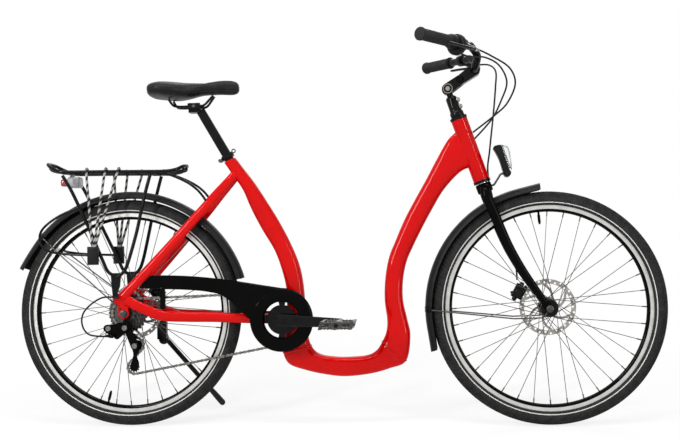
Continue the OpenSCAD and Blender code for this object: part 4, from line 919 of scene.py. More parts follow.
# %% Stem
PIVOT = HEAD_FOOT + 275 * STEER_UP
MID = PIVOT + 0.47 * (BAR - PIVOT)
foot = HEAD_FOOT + 191.5 * STEER_UP
column = lathe([[15, 0], [19, 0.5], [19.5, 2], [19.5, 13], [18, 15], [17, 17], [16.5, 24], [16, 56],
                [12, 61]], foot, STEER_UP)
neck = grid(tube(np.linspace(foot + 54 * STEER_UP, PIVOT, 4), 9, sides=32, square=4))
barrel = lathe([[12, -10], [16, -9.5], [17, -8.5], [17, 8.5], [16, 9.5], [12, 10]], PIVOT, (0, 1, 0))
build("stem_column", [column, neck, barrel], BLACK, "steering", ["stem_base"])
cheek = disc_hull([[PIVOT[0], PIVOT[2], 16], [MID[0], MID[2], 14]])
arm = disc_hull([[MID[0], MID[2], 13.5], [BAR[0], BAR[2], 16.5]])
build("stem_cheeks", [plate(cheek, 10.6, 20, 2), plate(cheek, -20, -10.6, 2), plate(arm, -20, 20, 3)],
      BLACK, "steering", ["stem_arm"])

# %% [markdown]
# What is bright on the stem is small: a ring and a nut at the pivot, the bolts at the bar, and two
# clamp bolts in lugs. A row of teeth runs up the column's front: every other ring of a tube is wider.

# %% Stem bolts and teeth
BOLT = np.array([[2, 0], [11, 0], [12, 0.6], [12, 1.4], [11, 2], [6.5, 2], [6.5, 2.5], [6, 3.2], [3.2, 3.2],
                 [3.2, 1.8], [1, 1.8]])
PIVOT_RING = [[11.8, -0.5], [11.8, 1], [13.6, 1], [13.6, -0.5]]
PIVOT_NUT = [[3.2, -0.5], [7.4, -0.5], [7.4, 1.6], [6.6, 2.4], [3.2, 2.4]]
LUG = [[2, -9], [5, -9], [6, -8], [6, 8], [5, 9], [2, 9]]
TEETH = 41
heads = [lathe(q, PIVOT + [0, s * 20, 0], (0, s, 0), steps) for s in (1, -1)
         for q, steps in ((PIVOT_RING, 48), (PIVOT_NUT, 6))]
front = unit(BAR - PIVOT)
heads += [lathe(BOLT * 0.6, BAR + 16.2 * front + [0, s * 12, 0], front, 16) for s in (1, -1)]
AHEAD = np.array([STEER_UP[2], 0, -STEER_UP[0]])
lugs = [foot + h * STEER_UP + 17 * AHEAD for h in (26, 46)]
heads += [lathe(BOLT * 0.42, q + [0, -9, 0], (0, -1, 0), 16) for q in lugs]
build("stem_bolts", heads, DISC, "steering")
teeth = tube(np.linspace(foot + 4 * STEER_UP + 11 * AHEAD, foot + 54 * STEER_UP + 9 * AHEAD, TEETH),
             6.5 + 0.6 * (np.arange(TEETH) % 2), 7, 20, square=4)
build("stem_teeth", [grid(teeth)], DISC, "steering")
build("stem_lugs", [lathe(LUG, q, (0, 1, 0), 32) for q in lugs], DARK, "steering")

# %% [markdown]
# ## Cables
# Outer cables are thin tubes on a smooth path. Those between the bars and the head tube cross the
# steering joint, so they ride on no body: they are drawn where they lie and stay there when the bars turn.

# %% Cables
CABLE_R = 2.5


def cable(line, steps=12):
    """A round cable on the smooth line through a few points."""
    return grid(tube(curve(line, steps), CABLE_R, sides=12))


rear_line = np.vstack([mirror(BARREL), HEAD_FOOT + [[30, -112, 334], [80, -80, 305], [97, -52, 264],
                                                    [76, -24, 215], [42, -14, 183], [-22, -10, 135]]])
shift_in = GRIP_IN - 46.5 * GRIP_DIR - [0, 0, 25]
shift_line = np.vstack([mirror(shift_in), HEAD_FOOT + [[-29, -122, 332], [15, -72, 336], [55, -32, 318],
                                                       [76, 0, 276], [60, 10, 226], [32, 12, 173],
                                                       [-16.6, 8, 119]]])
loops = build("bar_cables", [cable(rear_line), cable(shift_line)], PLASTIC, None, ["control_cables"])
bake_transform(loops)
brake_line = np.vstack([BARREL, HEAD_FOOT + [[30, 112, 342], [48, 80, 318], [46, 62, 270], [38, 54, 190],
                                             [26, 54, 90], [20, 60, 20]],
                        FRONT + [[-138, 65, 274], [-102, 66, 182], [-86, 63.5, 114], [-84, 50, 78]]])
build("fork_cable", [cable(brake_line, 10)], PLASTIC, "steering", ["front_brake_cable"])
gear_line = [[-8, -86, 372], [-60, -86, 372], [-108, -85, 338], [-118, -85, 300], [-96, -84, 268],
             [-34, -79, 262]]
build("changer_cable", [cable(gear_line)], PLASTIC, "frame", ["gear_cable"])

# %% [markdown]
# ## Lamps
# The front lamp is a tall body with a clear lens ahead of a bright reflector, on a bent wire. Body and
# lens are plates whose side views were drawn from the fork crown.

# %% Front lamp


def rounded(corners, steps=5):
    """Closed outline through corners, smooth at each of them."""
    p = np.asarray(corners, float)
    return curve(np.vstack([p[-2:], p, p[:2]]), steps)[2 * steps:-2 * steps - 1]


crown_xz = CROWN[[0, 2]]
lamp_body = [[26, 110], [31, 116.5], [46, 119], [50.5, 112], [60.6, 77.5], [70, 50], [75, 42], [72, 33],
             [64, 29.5], [56, 33], [51.7, 46.7], [42.5, 78], [30, 104]]
lamp_lens = [[48.5, 118.5], [65, 116.5], [72, 104], [75, 88], [77, 64], [76.5, 49], [71.2, 50.5],
             [61.4, 77.8], [51, 112.3]]
mirror_face = [[51.5, 112], [55, 111], [66, 80], [74, 54], [71.6, 53], [61.8, 78]]
build("lamp_shell", [plate(rounded(lamp_body) + crown_xz, -27, 27, 3)], PLASTIC, "steering", ["head_lamp"])
build("lamp_reflector", [plate(np.array(mirror_face) + crown_xz, -21, 21, 0.5)], STEEL, "steering")
build("lamp_glass", [plate(rounded(lamp_lens) + crown_xz, -25, 25, 3)], CLEAR, "steering", ["head_lens"])
wire = curve(CROWN + np.vstack([20 * AHEAD, 29 * AHEAD, [[38, 0, 25], [46, 0, 37.2], [54.5, 0, 40]]]))
build("lamp_wire", [grid(tube(wire, 3, sides=16))], DARK, "steering", ["lamp_bracket"])

# %% [markdown]
# The rear lamp hangs under the carrier: a grey housing with a hanger, and a red lens behind it.

# %% Rear lamp
DECK_Z = 733.0
housing = [block([-178, -24, DECK_Z - 43], [-144, 24, DECK_Z - 11]),
           block([-176, -6, DECK_Z - 14], [-164, 6, DECK_Z - 4.7])]
build("tail_housing", housing, GREY, "frame", ["tail_lamp"])
build("tail_red", [block([-198, -22, DECK_Z - 39], [-178.2, 22, DECK_Z - 17], 4)], REDLENS, "frame",
      ["tail_lens"])

# %% [markdown]
# ## Carrier
# The carrier is welded from round rods: a deck with two long bars and four cross bars, and two struts
# that run forward to the frame.

# %% Carrier deck
deck = curve([[-236, 0, 760], [-232, 30, 758], [-214, 52, 747], [-186, 62, 735], [-150, 62, 733],
              [-60, 62, 732], [60, 62, 730], [120, 56, 730], [150, 46, 735], [166, 24, 745], [171, 0, 748]])
rail = tube(deck, 5, sides=16, up=(0, 0, 1))
long_bars = [grid(tube(curve([[-232, y, 758], [-186, y, 733], [130, y, 730], [164, y, 744]]), 3.5, sides=14))
             for y in (-20, 20)]
cross_bars = [grid(tube(np.linspace([x, -59, 732], [x, 59, 732], 6), 3.5, sides=14, up=(0, 0, 1)))
              for x in (-170, -60, 50, 118)]
strut = tube(curve([[62, 40, 726], [95, 40, 726], [118, 40, 724], [140, 40, 717], [165, 40, 706],
                    [190, 40, 692], [213, 39, 673], [230, 37, 651], [238, 35.5, 634]]), 3.5, sides=14)
build("carrier_rails", pair(rail) + pair(strut) + long_bars + cross_bars, BLACK, "frame", ["carrier_deck"])

# %% [markdown]
# On each side two legs meet in a flat shoe at the dropout, and a hoop keeps bags out of the wheel.

# %% Carrier legs
rear_leg = curve([[-178, 62, 723], [-150, 64, 676], [-100, 66, 570], [-58, 76.6, 478], [-42, 77.6, 446],
                  [-17, 78.6, 430]])
front_leg = curve([[80, 62, 723], [60, 64, 650], [40, 67, 560], [18, 76.6, 478], [4, 77.6, 446],
                   [-17, 78.6, 430]])
hoop = curve([[-129, 65, 631.3], [-190, 66, 606], [-236, 66, 572], [-246, 66, 540], [-226, 66, 510],
              [-170, 66, 498], [-66, 75.6, 492]])
legs = [tube(rear_leg, 5, sides=16), tube(front_leg, 5, sides=16), tube(hoop, 3.5, sides=14)]
shoe = [[-34, 442], [-4, 442], [-8, 404], [-15, 386], [-15, 370], [-28, 370], [-31, 400]]
shoes = [plate(shoe, 74.6, 82.6), plate(shoe, -82.6, -74.6)]
build("carrier_side_rods", [grid(q) for q in legs + [mirror(q) for q in legs]] + shoes, BLACK, "frame",
      ["carrier_legs"])

# %% [markdown]
# Elastic straps hook over the rails and end in a clip block on each side. Their woven cover has a
# pale tracer: the material counts along the strap and once round it, so the stripes slant.

# %% Straps
TRACER_TURNS = 26.0
STRAP_R, STRAP_Y, STRAP_FOOT = 3.6, 89, 512
CLIP_MID, CLIP_HALF = 492, np.array([16, 4.5, 26])


def tracer(n, link, uv):
    """1 on the paler half of each turn of a stripe that slants once round."""
    turns = reckon(n, link, "ADD", reckon(n, link, "MULTIPLY", uv["X"], TRACER_TURNS), uv["Y"])
    return reckon(n, link, "GREATER_THAN", reckon(n, link, "FRACT", turns), 0.5)


painted(STRAP[0], tracer, (0.34, 0.34, 0.32))
straps, clips = [], []
for side, tops, foot_x in ((-1, (-106, -50, -12), -82), (1, (-66, -24, 22), -60)):
    for x in tops:
        hook = [[x, 54, 735.5], [x, 56.5, 740.5], [x, 63, 741.3], [x, 69.5, 737]]
        line = np.array(hook + [[foot_x + (x - foot_x) * 0.06, STRAP_Y, STRAP_FOOT]]) * [1, side, 1]
        path = np.vstack([curve(line[:4], 5), np.linspace(line[3], line[4], 12)[1:]])
        straps.append(grid(tube(path, STRAP_R, sides=14, up=(1, 0, 0.1))))
    clip = np.array([foot_x, side * STRAP_Y, CLIP_MID])
    clips.append(block(clip - CLIP_HALF, clip + CLIP_HALF))
build("strap_cords", straps, STRAP, "frame", ["bungee_straps"])
build("strap_clips", clips, PLASTIC, "frame")

# %% [markdown]
# ## Mudguards
# A mudguard is a curved strip about the wheel's axle: its section is a flat arch with a thickness,
# carried from one angle to another, and its end flares away from the wheel. A lug joins it to the
# frame or the fork crown, and a narrow band marks where its wires are held.

# %% Mudguards


def arch(r, half=27.0, bend=28.5, t=2.0):
    """Closed section (radius, y) of a mudguard: the outside is an arc, the inside lies t under it."""
    b = np.linspace(-1, 1, 23) * np.arcsin(half / bend)
    outer = np.stack([r - bend + bend * np.cos(b), bend * np.sin(b)], 1)
    inner = np.stack([r - bend + (bend - t) * np.cos(b), (bend - t) * np.sin(b)], 1)
    return np.vstack([outer, inner[::-1]])


def flared(sheet, axle, first, last):
    """Lifts the end rows away from the axle by the square of the way into the last tenth."""
    u = np.linspace(0, 1, len(sheet))
    lift = first * np.clip(1 - u / 0.1, 0, 1) ** 2 + last * np.clip((u - 0.9) / 0.1, 0, 1) ** 2
    spoke = (sheet - axle) * [1, 0, 1]
    return sheet + unit(spoke) * lift[:, None, None]


def lug(axle, way, r0, r1):
    """A short round peg that points away from an axle, between two radii."""
    return grid(tube(np.linspace(axle + r0 * way, axle + r1 * way, 3), 6, sides=24))


REAR_LUG = np.radians(52.5)
crown_r = np.hypot(*(CROWN - FRONT)[[0, 2]])
rear_arch = flared(wheel_turn(arch(350), REAR, 16, 158, 140), REAR, 0, 6)
front_arch = flared(wheel_turn(arch(345), FRONT, 93, 200, 120), FRONT, 6, 7)
rear_lug = lug(REAR, np.array([np.cos(REAR_LUG), 0, np.sin(REAR_LUG)]), 348, 355)
front_lug = lug(FRONT, (CROWN - FRONT) / crown_r, 344, crown_r - 12)
build("rear_arch", [grid(rear_arch), rear_lug], PLASTIC, "frame", ["rear_mudguard"])
build("front_arch", [grid(front_arch), front_lug], PLASTIC, "steering", ["front_mudguard"])
rear_band = wheel_turn(arch(351.2, 28.2, 29.7, 3), REAR, 138, 140.6, 4)
front_band = wheel_turn(arch(346.2, 28.2, 29.7, 3), FRONT, 178.6, 181.4, 4)
build("rear_arch_band", [grid(rear_band)], BLACK, "frame")
build("front_arch_band", [grid(front_band)], BLACK, "steering")

# %% [markdown]
# Thin wires hold each mudguard off its tyre. They run from the band to the dropout or the fork's end.

# %% Mudguard wires
rear_wire = rod([[-250, 29.2, 543.5], [-197.6, 41.2, 497.8], [-80, 74, 402], [-14, 76.7, 345],
                 [-8, 76.7, 338]], 2, 12)
front_wire = rod(FRONT + [[-326.6, 29.2, -2], [-271, 33.2, -8], [-98, 56, -26], [-18, 58.2, -24],
                          [-8, 58.2, -9]], 2, 12)
build("rear_arch_wires", pair(rear_wire), DARK, "frame", ["rear_mudguard_stays"])
build("front_arch_wires", pair(front_wire), DARK, "steering", ["front_mudguard_stays"])

# %% [markdown]
# ## Drive
# Cogs and chainring are discs whose edge rises and falls once a tooth. The cogs sit side by side on a
# sleeve of the rear hub.

# %% Cogs
CHAIN_Y = -45.0
COGS = [(56, 28), (52, 26), (48, 24), (44, 22), (36.6, 19), (30, 16), (28, 14)]
COG_FIRST_Y, COG_STEP, COG_BORE = -25, 5, 15.4


def toothed(centre, r, teeth, y, t, bore):
    """Ring from bore to an edge of radius r + 2.2*(a clipped cosine that peaks once a tooth), between
    y - t/2 and y + t/2."""
    a = np.linspace(0, 2 * np.pi, teeth * 10, endpoint=False)[:, None]
    edge = r + 2.2 * np.clip(1.5 * np.cos(teeth * a), -1, 0.9)
    reach = np.hstack([bore + 0 * a, edge, edge, bore + 0 * a])
    return grid(wheel_point(centre, reach, a, y + np.array([-t, -t, t, t]) / 2), loop=True)


stack = [toothed(REAR, r, teeth, COG_FIRST_Y - COG_STEP * k, 2, COG_BORE)
         for k, (r, teeth) in enumerate(COGS)]
sleeve = lathe(flat_ring(COG_BORE, 21, 24, 56), REAR, (0, -1, 0))
build("cog_stack", stack + [sleeve], DARK, "rear_wheel", ["cassette"])

# %% [markdown]
# The chainring is a toothed ring on four short arms, with windows between them, about a disc.

# %% Chainring


def sector(r0, r1, a0, a1, steps=10):
    """Outline (x, z) of a ring's sector about the crank axle, from one angle to another."""
    a = np.radians(np.linspace(a0, a1, steps))
    u = np.stack([np.cos(a), np.sin(a)], 1)
    return CRANK[[0, 2]] + np.vstack([r1 * u, r0 * u[::-1]])


arms = [plate(sector(41, 52, k * 90 + 78, k * 90 + 100), CHAIN_Y - 1.4, CHAIN_Y + 1.4, 0.2) for k in range(4)]
spider = grid(turned(flat_ring(8.6, 42, -1.5, 1.5), beside(CRANK, CHAIN_Y), (0, 1, 0), 96), loop=True)
build("tooth_ring", [toothed(CRANK, 72.6, 38, CHAIN_Y, 3, 51), spider] + arms, BLACK, "crank", ["chainring"])

# %% [markdown]
# The chain runs over ring, cog and the changer's two wheels: its centre line is four arcs joined by
# straights. Pins are set along it about half an inch apart, an even number of them, so that outer and
# inner links can take turns.

# %% Chain line
UPPER, LOWER = np.array([30.0, 0, 234]), np.array([22.0, 0, 172])
INCH = 25.4


def arc(centre, r, start, end, steps):
    """Points of an arc about centre, from one angle to another, in the chain's plane."""
    a = np.radians(np.linspace(start, end, steps))
    return wheel_point(centre, r, a, CHAIN_Y)


loop_line = np.vstack([arc(CRANK, 76.9, -106, 86, 60), arc(REAR, 40.6, 86, 262, 40),
                       arc(UPPER, 20, 74, -62, 20), arc(LOWER, 20, 118, 286, 24)])
loop_line = np.vstack([loop_line, loop_line[:1]])
far = np.concatenate([[0], np.cumsum(np.linalg.norm(np.diff(loop_line, axis=0), axis=1))])
LINKS = 2 * int(round(far[-1] / INCH))
spread = np.linspace(0, far[-1], LINKS, endpoint=False)
pins = np.stack([np.interp(spread, far, loop_line[:, k]) for k in range(3)], 1)
print("chain of", LINKS, "links, %.0f mm" % far[-1])

# %% [markdown]
# A link is a pair of plates with a waist. There are over a hundred, so the outline has only 16 corners:
# one half is an arc round a pin and a point at the waist, and the other half is the same turned round.

# %% Chain links
turn = np.radians(np.linspace(60, 300, 7))
half_link = np.vstack([4.1 * np.stack([np.cos(turn), np.sin(turn)], 1), [[INCH / 4, -2.6]]])
outline = np.vstack([half_link, [INCH / 2, 0] - half_link])
ROLLER, PIN = flat_ring(1.2, 3.8, -0.9, 0.9), flat_ring(0.4, 1.9, -3.4, 3.4)
inner, outer = [], []
for k in range(LINKS):
    a, b = pins[k], pins[(k + 1) % LINKS]
    way = unit(b - a)[[0, 2]]
    flat = a[[0, 2]] + outline[:, :1] * way + outline[:, 1:] * [-way[1], way[0]]
    kind, gap = (outer, 2.6) if k % 2 else (inner, 1.4)
    kind += [plate(flat, CHAIN_Y + s * gap - 0.5, CHAIN_Y + s * gap + 0.5, 0.15) for s in (1, -1)]
    inner.append(lathe(ROLLER, a, (0, 1, 0), 10))
    outer.append(lathe(PIN, a, (0, 1, 0), 8))
build("chain_outer_links", outer, LINK, "frame", ["chain"])
build("chain_inner_links", inner, DARK, "frame")

# %% [markdown]
# The changer hangs from the dropout: a body, a link, and a cage of two plates that holds two small
# toothed wheels under chain tension. A fluted screw sets its cable.

# %% Changer
wheels = [toothed(c, 13.4, 11, CHAIN_Y, 3, 3.5) for c in (UPPER, LOWER)]
hubs = [lathe(flat_ring(1.5, 5, -5.6, 5.6), beside(c, CHAIN_Y), (0, 1, 0), 24) for c in (UPPER, LOWER)]
cage = rounded([[16, 238], [24, 248], [38, 246], [44, 232], [36, 216], [29, 200], [34, 184], [33, 168],
                [24, 160], [13, 164], [10, 176], [16, 190], [20, 208], [17, 224]])
sides = [plate(cage, y, y + 2, 0.5) for y in (-50.7, -41.3)]
CHANGER_PLATES = [
    ([[30, 234, 12], [27, 252, 8], [8, 284, 9]], -72, -62, 3), ([[30, 234, 11]], -63, -50.7, 1)]
CHANGER_BODY = [
    ([[4, 286, 13], [-16, 290, 10]], -72.4, -61, 3),
    ([[-14, 286, 10], [-50, 284, 11], [-36, 270, 9]], -71.5, -62.5, 3),
    ([[2, 280, 8], [-22, 262, 9]], -70, -63, 2.5), ([[4, 286, 11], [8, 306, 7]], -80, -74.6, 1)]
link_parts, body_parts = ([plate(disc_hull(circles), *rest) for circles, *rest in rows]
                          for rows in (CHANGER_PLATES, CHANGER_BODY))
screw = lathe([[2, 0], [5, 0.5], [5.5, 2], [5.5, 12], [4, 14], [3.4, 22], [2, 23]], [-28, -79, 263],
              (-1, -0.05, 0.05), 24, flutes=10, depth=0.3)
PIVOT_BOLT = [[1, 0], [7, 0], [7.6, 0.8], [7.6, 2.4], [7, 3], [3, 3], [3, 1.5], [1, 1.5]]
bolts = [lathe(PIVOT_BOLT, at, (0, -1, 0), 24) for at in ([30, -72, 234], [4, -80, 286], [-46, -71.5, 284])]
build("changer_cage", sides + link_parts + [screw] + body_parts, GLOSS, "frame", ["derailleur"])
build("changer_wheels", wheels + hubs, PLASTIC, "frame")
build("changer_bolts", bolts, LINK, "frame")

# %% [markdown]
# The guard is pressed from sheet: a disc with a hole round the crank, and a tail over the upper run.
# Both have a rolled edge, so the section turns back towards the chain at its rim. The tail is drawn by
# its upper and lower line: each point of the section is a share of the way between them, and a depth.

# %% Chain guard
rolled = [[52, 56], [51.2, 60], [53, 62.4], [58, 62.8], [78, 62.6], [86, 60.8], [89.9, 56], [89.9, 50],
          [88.4, 50], [88.2, 55], [85, 59], [78, 60.6], [58, 60.8], [54, 59.6], [53.5, 56]]
disc = turned(rolled, beside(CRANK), (0, -1, 0), 128)
top = curve([[76.5, 434], [170, 431], [250, 424], [330, 413], [396, 402], [450, 393]], 8)
low = curve([[40, 398], [90, 394], [170, 391], [240, 384], [290, 367], [362, 302]], 8)
share = np.array([0, 0.012, 0.05, 0.12, 0.5, 0.88, 0.95, 0.988, 1, 0.975, 0.94, 0.87, 0.5, 0.13, 0.06, 0.025])
depth = np.array([50, 56, 60, 61.4, 62, 61.4, 60, 56, 50, 50, 57, 59.4, 60, 59.4, 57, 50])
tail = top[:, None] + (low - top)[:, None] * share[None, :, None]
tail = np.stack([tail[..., 0], 0 * tail[..., 0] - depth, tail[..., 1]], -1)
brackets = [block([104, -66, 337], [118, -57, 400]), block([352, -58, 310], [362, -43, 319])]
build("guard_cover", [grid(disc, loop=True), grid(tail)] + brackets, GLOSS, "frame", ["chain_guard"])

# %% [markdown]
# Crank arms are forged: flat plates with a wide, soft bevel, a bolt cap at the axle and the pedal
# axle at the end.

# %% Cranks
PEDAL_R, PEDAL_L = (unpark(joints[j]["pos_m"]) for j in ("pedal_right_spin", "pedal_left_spin"))
sheets = [lathe([[4, -70], [8.5, -69], [8.5, 69], [4, 70]], CRANK, (0, 1, 0), 32)]
for end, s in ((PEDAL_R, -1), (PEDAL_L, 1)):
    forged = disc_hull([[CRANK[0], CRANK[2], 17], [end[0], end[2], 12.5]])
    sheets.append(plate(forged, *sorted((s * 66, s * 82)), 3.5))
    sheets.append(lathe([[4, 70], [6, 71], [6, 186], [4, 187]], beside(end), (0, s, 0), 24))
    sheets.append(lathe([[4, 81], [11, 81.5], [11.5, 83], [10, 84.5], [4, 85]], CRANK, (0, s, 0), 32))
build("crank_arms", sheets, BLACK, "crank", ["crankset"])

# %% [markdown]
# A pedal is a steel cage about a sleeve, with saw teeth that grip the shoe. The teeth are in the rails:
# a rail is a tube whose height rises and falls by a triangle wave.

# %% Pedals
PEDAL_Y, RAIL_X, RAIL_Y, RAIL_Z, TOOTH = 140, 42, 41.5, 7, 9.2


def pedal_cage(centre, side):
    """Sleeve and cage of toothed rails. All of it leans: x grows by a third of the height."""
    mid = beside(centre, side * PEDAL_Y)
    t = np.linspace(-5 * TOOTH, 5 * TOOTH, 93)
    height = 2.4 + 2 * np.abs(2 * ((t / TOOTH) % 1) - 1)
    zero = 0 * t
    ends = [(s, z) for s in (-1, 1) for z in (-RAIL_Z, RAIL_Z)]
    lines = [np.stack([zero + s * RAIL_X, t, zero + z], 1) for s, z in ends]
    lines += [np.stack([t, zero + s * RAIL_Y, zero + z], 1) for s, z in ends]
    rails = [grid(tube(mid + q, 4, height, 16, up=(0, 0, 1), square=6)) for q in lines]
    posts = [block(mid + [x - 4, y - 3, -9], mid + [x + 4, y + 3, 9])
             for x in (-RAIL_X, -14, 14, RAIL_X) for y in (-RAIL_Y, RAIL_Y)]
    core = [lathe([[7, -45], [12, -44], [12, 44], [7, 45]], mid, (0, 1, 0), 32),
            block(mid + [-40, -9, -7], mid + [40, 9, 7])]
    return [(v + (v[:, 2:] - mid[2]) / 3 * [1, 0, 0], *rest) for v, *rest in rails + posts + core]


build("pedal_cage_right", pedal_cage(PEDAL_R, -1), DARK, "pedal_r", ["pedal_right"])
build("pedal_cage_left", pedal_cage(PEDAL_L, 1), DARK, "pedal_l", ["pedal_left"])

# %% [markdown]
# ## Saddle
# A saddle is foam on a shell under a tight cover: broad at the back, slim at the nose. Each row below
# is a place along it, a share of the width, a top and a bottom height. Here the plain form is drawn,
# with how deep the seam and the channel will be at each point.

# %% Saddle form
POST_TOP = np.array([215.0, 0, 905.5])
SADDLE_BACK, SADDLE_LENGTH, SADDLE_HALF = -148, 262, 84.5
SADDLE_ROWS = [
    [0, 0.5, 72, 49], [0.02, 0.74, 79, 43], [0.06, 0.88, 83, 39.5], [0.14, 1, 84.5, 37],
    [0.22, 0.99, 83.5, 34], [0.3, 0.93, 81.5, 33], [0.38, 0.77, 79.5, 34.5], [0.45, 0.6, 78.5, 37],
    [0.6, 0.35, 80.5, 44], [0.78, 0.25, 85.5, 45], [0.9, 0.215, 85, 43.5], [0.95, 0.19, 82.5, 44.5],
    [0.98, 0.15, 78.5, 48], [0.995, 0.1, 72.5, 53], [1, 0.04, 68, 57]]
CHANNEL_DEPTH, CHANNEL_HALF, CHANNEL_MID, CHANNEL_REACH = 3.2, 10, 0.45, 0.3
SEAM_DEPTH, SEAM_DOWN, SEAM_WIDTH = 2.4, 0.3, 0.06


def saddle_sheet(cols=96):
    """Squarish ovals along x: y = width*cos, z = middle + height*sin. With it come how deep the channel
    and the seam are at each point, both bell curves, and how high round its oval the point is."""
    share, width, high, low = curve(SADDLE_ROWS, 8).T
    a, c, s = oval(cols, 2.5)
    y = width[:, None] * SADDLE_HALF * c
    z = ((high + low) / 2)[:, None] + ((high - low) / 2)[:, None] * s
    along = np.exp(-((share[:, None] - CHANNEL_MID) / CHANNEL_REACH) ** 4)
    channel = CHANNEL_DEPTH * np.exp(-(y / CHANNEL_HALF) ** 2) * along * (s > 0)
    below = np.pi / 2 - np.abs(a - np.pi * 1.5)
    seam = SEAM_DEPTH * np.exp(-((below - SEAM_DOWN) / SEAM_WIDTH) ** 2)
    x = SADDLE_BACK + SADDLE_LENGTH * share[:, None] + 0 * a
    return POST_TOP + np.stack([x, y, z], -1), channel, seam + 0 * y, s + 0 * y


form, channel, seam, height = saddle_sheet()
print("saddle form:", form.shape, "points")

# %% [markdown]
# The form could be left as drawn, but a cover that is pulled over foam bulges between the places that
# hold it. So Blender's cloth blows it up from inside, with the underside held. It runs for twenty frames
# and its last state is written into the mesh, so no modifier stays on the piece. How far a point may
# go is limited softly, by the hyperbolic tangent of its way. Seam and channel are pressed in last.

# %% Saddle cover
SWELL, PRESSURE, FRAMES, HELD_BELOW = 2.5, 4.0, 20, -0.5


def blown(piece, held):
    """Upright points of a piece after its cover has been blown up with the points in held fixed."""
    piece.vertex_groups.new(name="held").add(np.flatnonzero(held).tolist(), 1.0, "REPLACE")
    cover = piece.modifiers.new("cover", "CLOTH")
    cover.settings.vertex_group_mass = "held"
    cover.settings.use_pressure = True
    cover.settings.uniform_pressure_force = PRESSURE
    cover.settings.effector_weights.gravity = 0
    for k in range(1, FRAMES + 1):
        bpy.context.scene.frame_set(k)
    state = piece.evaluated_get(bpy.context.evaluated_depsgraph_get()).data
    flat = np.empty(3 * len(state.vertices))
    state.vertices.foreach_get("co", flat)
    piece.modifiers.remove(cover)
    piece.vertex_groups.clear()
    bpy.context.scene.frame_set(1)
    return unpark(flat.reshape(-1, 3))


saddle = build("padded_saddle", [grid(form)], COVER, "frame", ["saddle"], sharp=70)
way = blown(saddle, height.ravel() < HELD_BELOW).reshape(form.shape) - form
far = np.linalg.norm(way, axis=-1, keepdims=True) + 1e-9
near = SWELL * np.tanh(far / SWELL)
form = form + way * near / far
form -= np.stack([0 * seam, seam * np.tanh(form[..., 1] / 10), channel], -1)
saddle.data.vertices.foreach_set("co", park(form).ravel())
saddle.data.update()
print("cover swells by %.1f mm, %.1f mm without the limit" % (near.max(), far.max()))

# %% [markdown]
# Two bent rods carry the saddle, and a cradle on the post clamps them between its jaws.

# %% Saddle rails and cradle
rail_line = curve([[-87, 30, 32.5], [-75, 25, 15.5], [-59, 22, 11.5], [-25, 22, 11.5], [2, 22, 11.5],
                   [16, 20, 15.5], [31, 14, 32.5], [39, 11, 42]])
build("saddle_rods", pair(POST_TOP + tube(rail_line, 3.5, sides=16)), BLACK, "frame", ["saddle_rails"])
cradle = [[3, -29], [8, -29], [9, -28], [9, -16], [7.5, -15], [7.5, 15], [9, 16], [9, 28], [8, 29], [3, 29]]
jaws = [lathe(cradle, POST_TOP + [x, 0, 12], (0, 1, 0), 32) for x in (-24, -6)]
jaws += [block(POST_TOP + [-33, y - 4, 3], POST_TOP + [3, y + 4, 21]) for y in (-22, 22)]
build("saddle_cradle", jaws, BLACK, "frame")
nut = [[1, 0], [5.6, 0], [5.6, 3], [4.6, 4], [1, 4]]
build("cradle_nuts", [lathe(nut, POST_TOP + [-15, s * 26, 12], (0, s, 0), 6) for s in (1, -1)], DARK, "frame")

# %% [markdown]
# A collar under the saddle draws the frame tube tight on the post. It is a split ring with two ears
# and a bolt through them, and an eyelet on its other side.

# %% Seat collar
SEAT_TOP, POST_UP = np.array([299.0, 0, 760]), np.array([-0.5, 0, 0.866])
BEHIND = np.array([-POST_UP[2], 0, POST_UP[0]])
COLLAR_MID = 6.5 * POST_UP
at = SEAT_TOP + COLLAR_MID
ring = lathe([[14.4, 0], [18, 0], [19, 1], [19, 12], [18, 13], [14.4, 13]], at, POST_UP, 64)
ear = np.linspace(at + 15 * BEHIND + COLLAR_MID, at + 29 * BEHIND + COLLAR_MID, 4)
ears = [grid(tube(ear + [0, y, 0], 3, [6, 6, 6, 4.5], 24, square=4)) for y in (-5, 5)]
turn = np.linspace(0, 2 * np.pi, 33)[:-1, None]
eyelet = at - 23 * BEHIND + 12 * POST_UP + 5 * (np.cos(turn) * BEHIND + np.sin(turn) * POST_UP)
build("post_collar", [ring, closed_tube(eyelet, 1.6, 12)] + ears, BLACK, "frame", ["seat_clamp"])
bolt_line = [[1, -13], [4.6, -13], [5, -12], [5, -8.2], [2.5, -8],
             [2.5, 8], [4.6, 8.2], [4.6, 12], [2.5, 14], [1, 14]]
build("collar_bolt", [lathe(bolt_line, at + 24 * BEHIND + COLLAR_MID, (0, 1, 0), 24)], DARK, "frame")

# %% [markdown]
# ## Stand
# The stand's foot is a rubber cap, so the bicycle doesn't slip or scratch the floor.

# %% Stand foot
STAND_PIN, STAND_DIR, STAND_LEN = np.array([76.0, 92, 246]), np.array([0.51, 0.44, -0.739]), 284.7
cap = [[7, -60], [7.6, -59], [8, -50], [8.6, -40], [9.3, -8], [9.1, 0], [7.9, 4.5], [5, 7.5], [1, 8.9]]
build("stand_foot", [lathe(cap, STAND_PIN + STAND_LEN * STAND_DIR, STAND_DIR, 40)], GRIP, "stand")

# %% [markdown]
# ## Brakes
# A rotor is a thin steel ring, cut out with round holes that shed water and heat, on slanting arms. The
# ring could be cut with booleans, but those leave untidy faces. Here it is made of equal sectors: each
# is a sheet whose columns run round a hole and round its sector's edge.

# %% Rotors


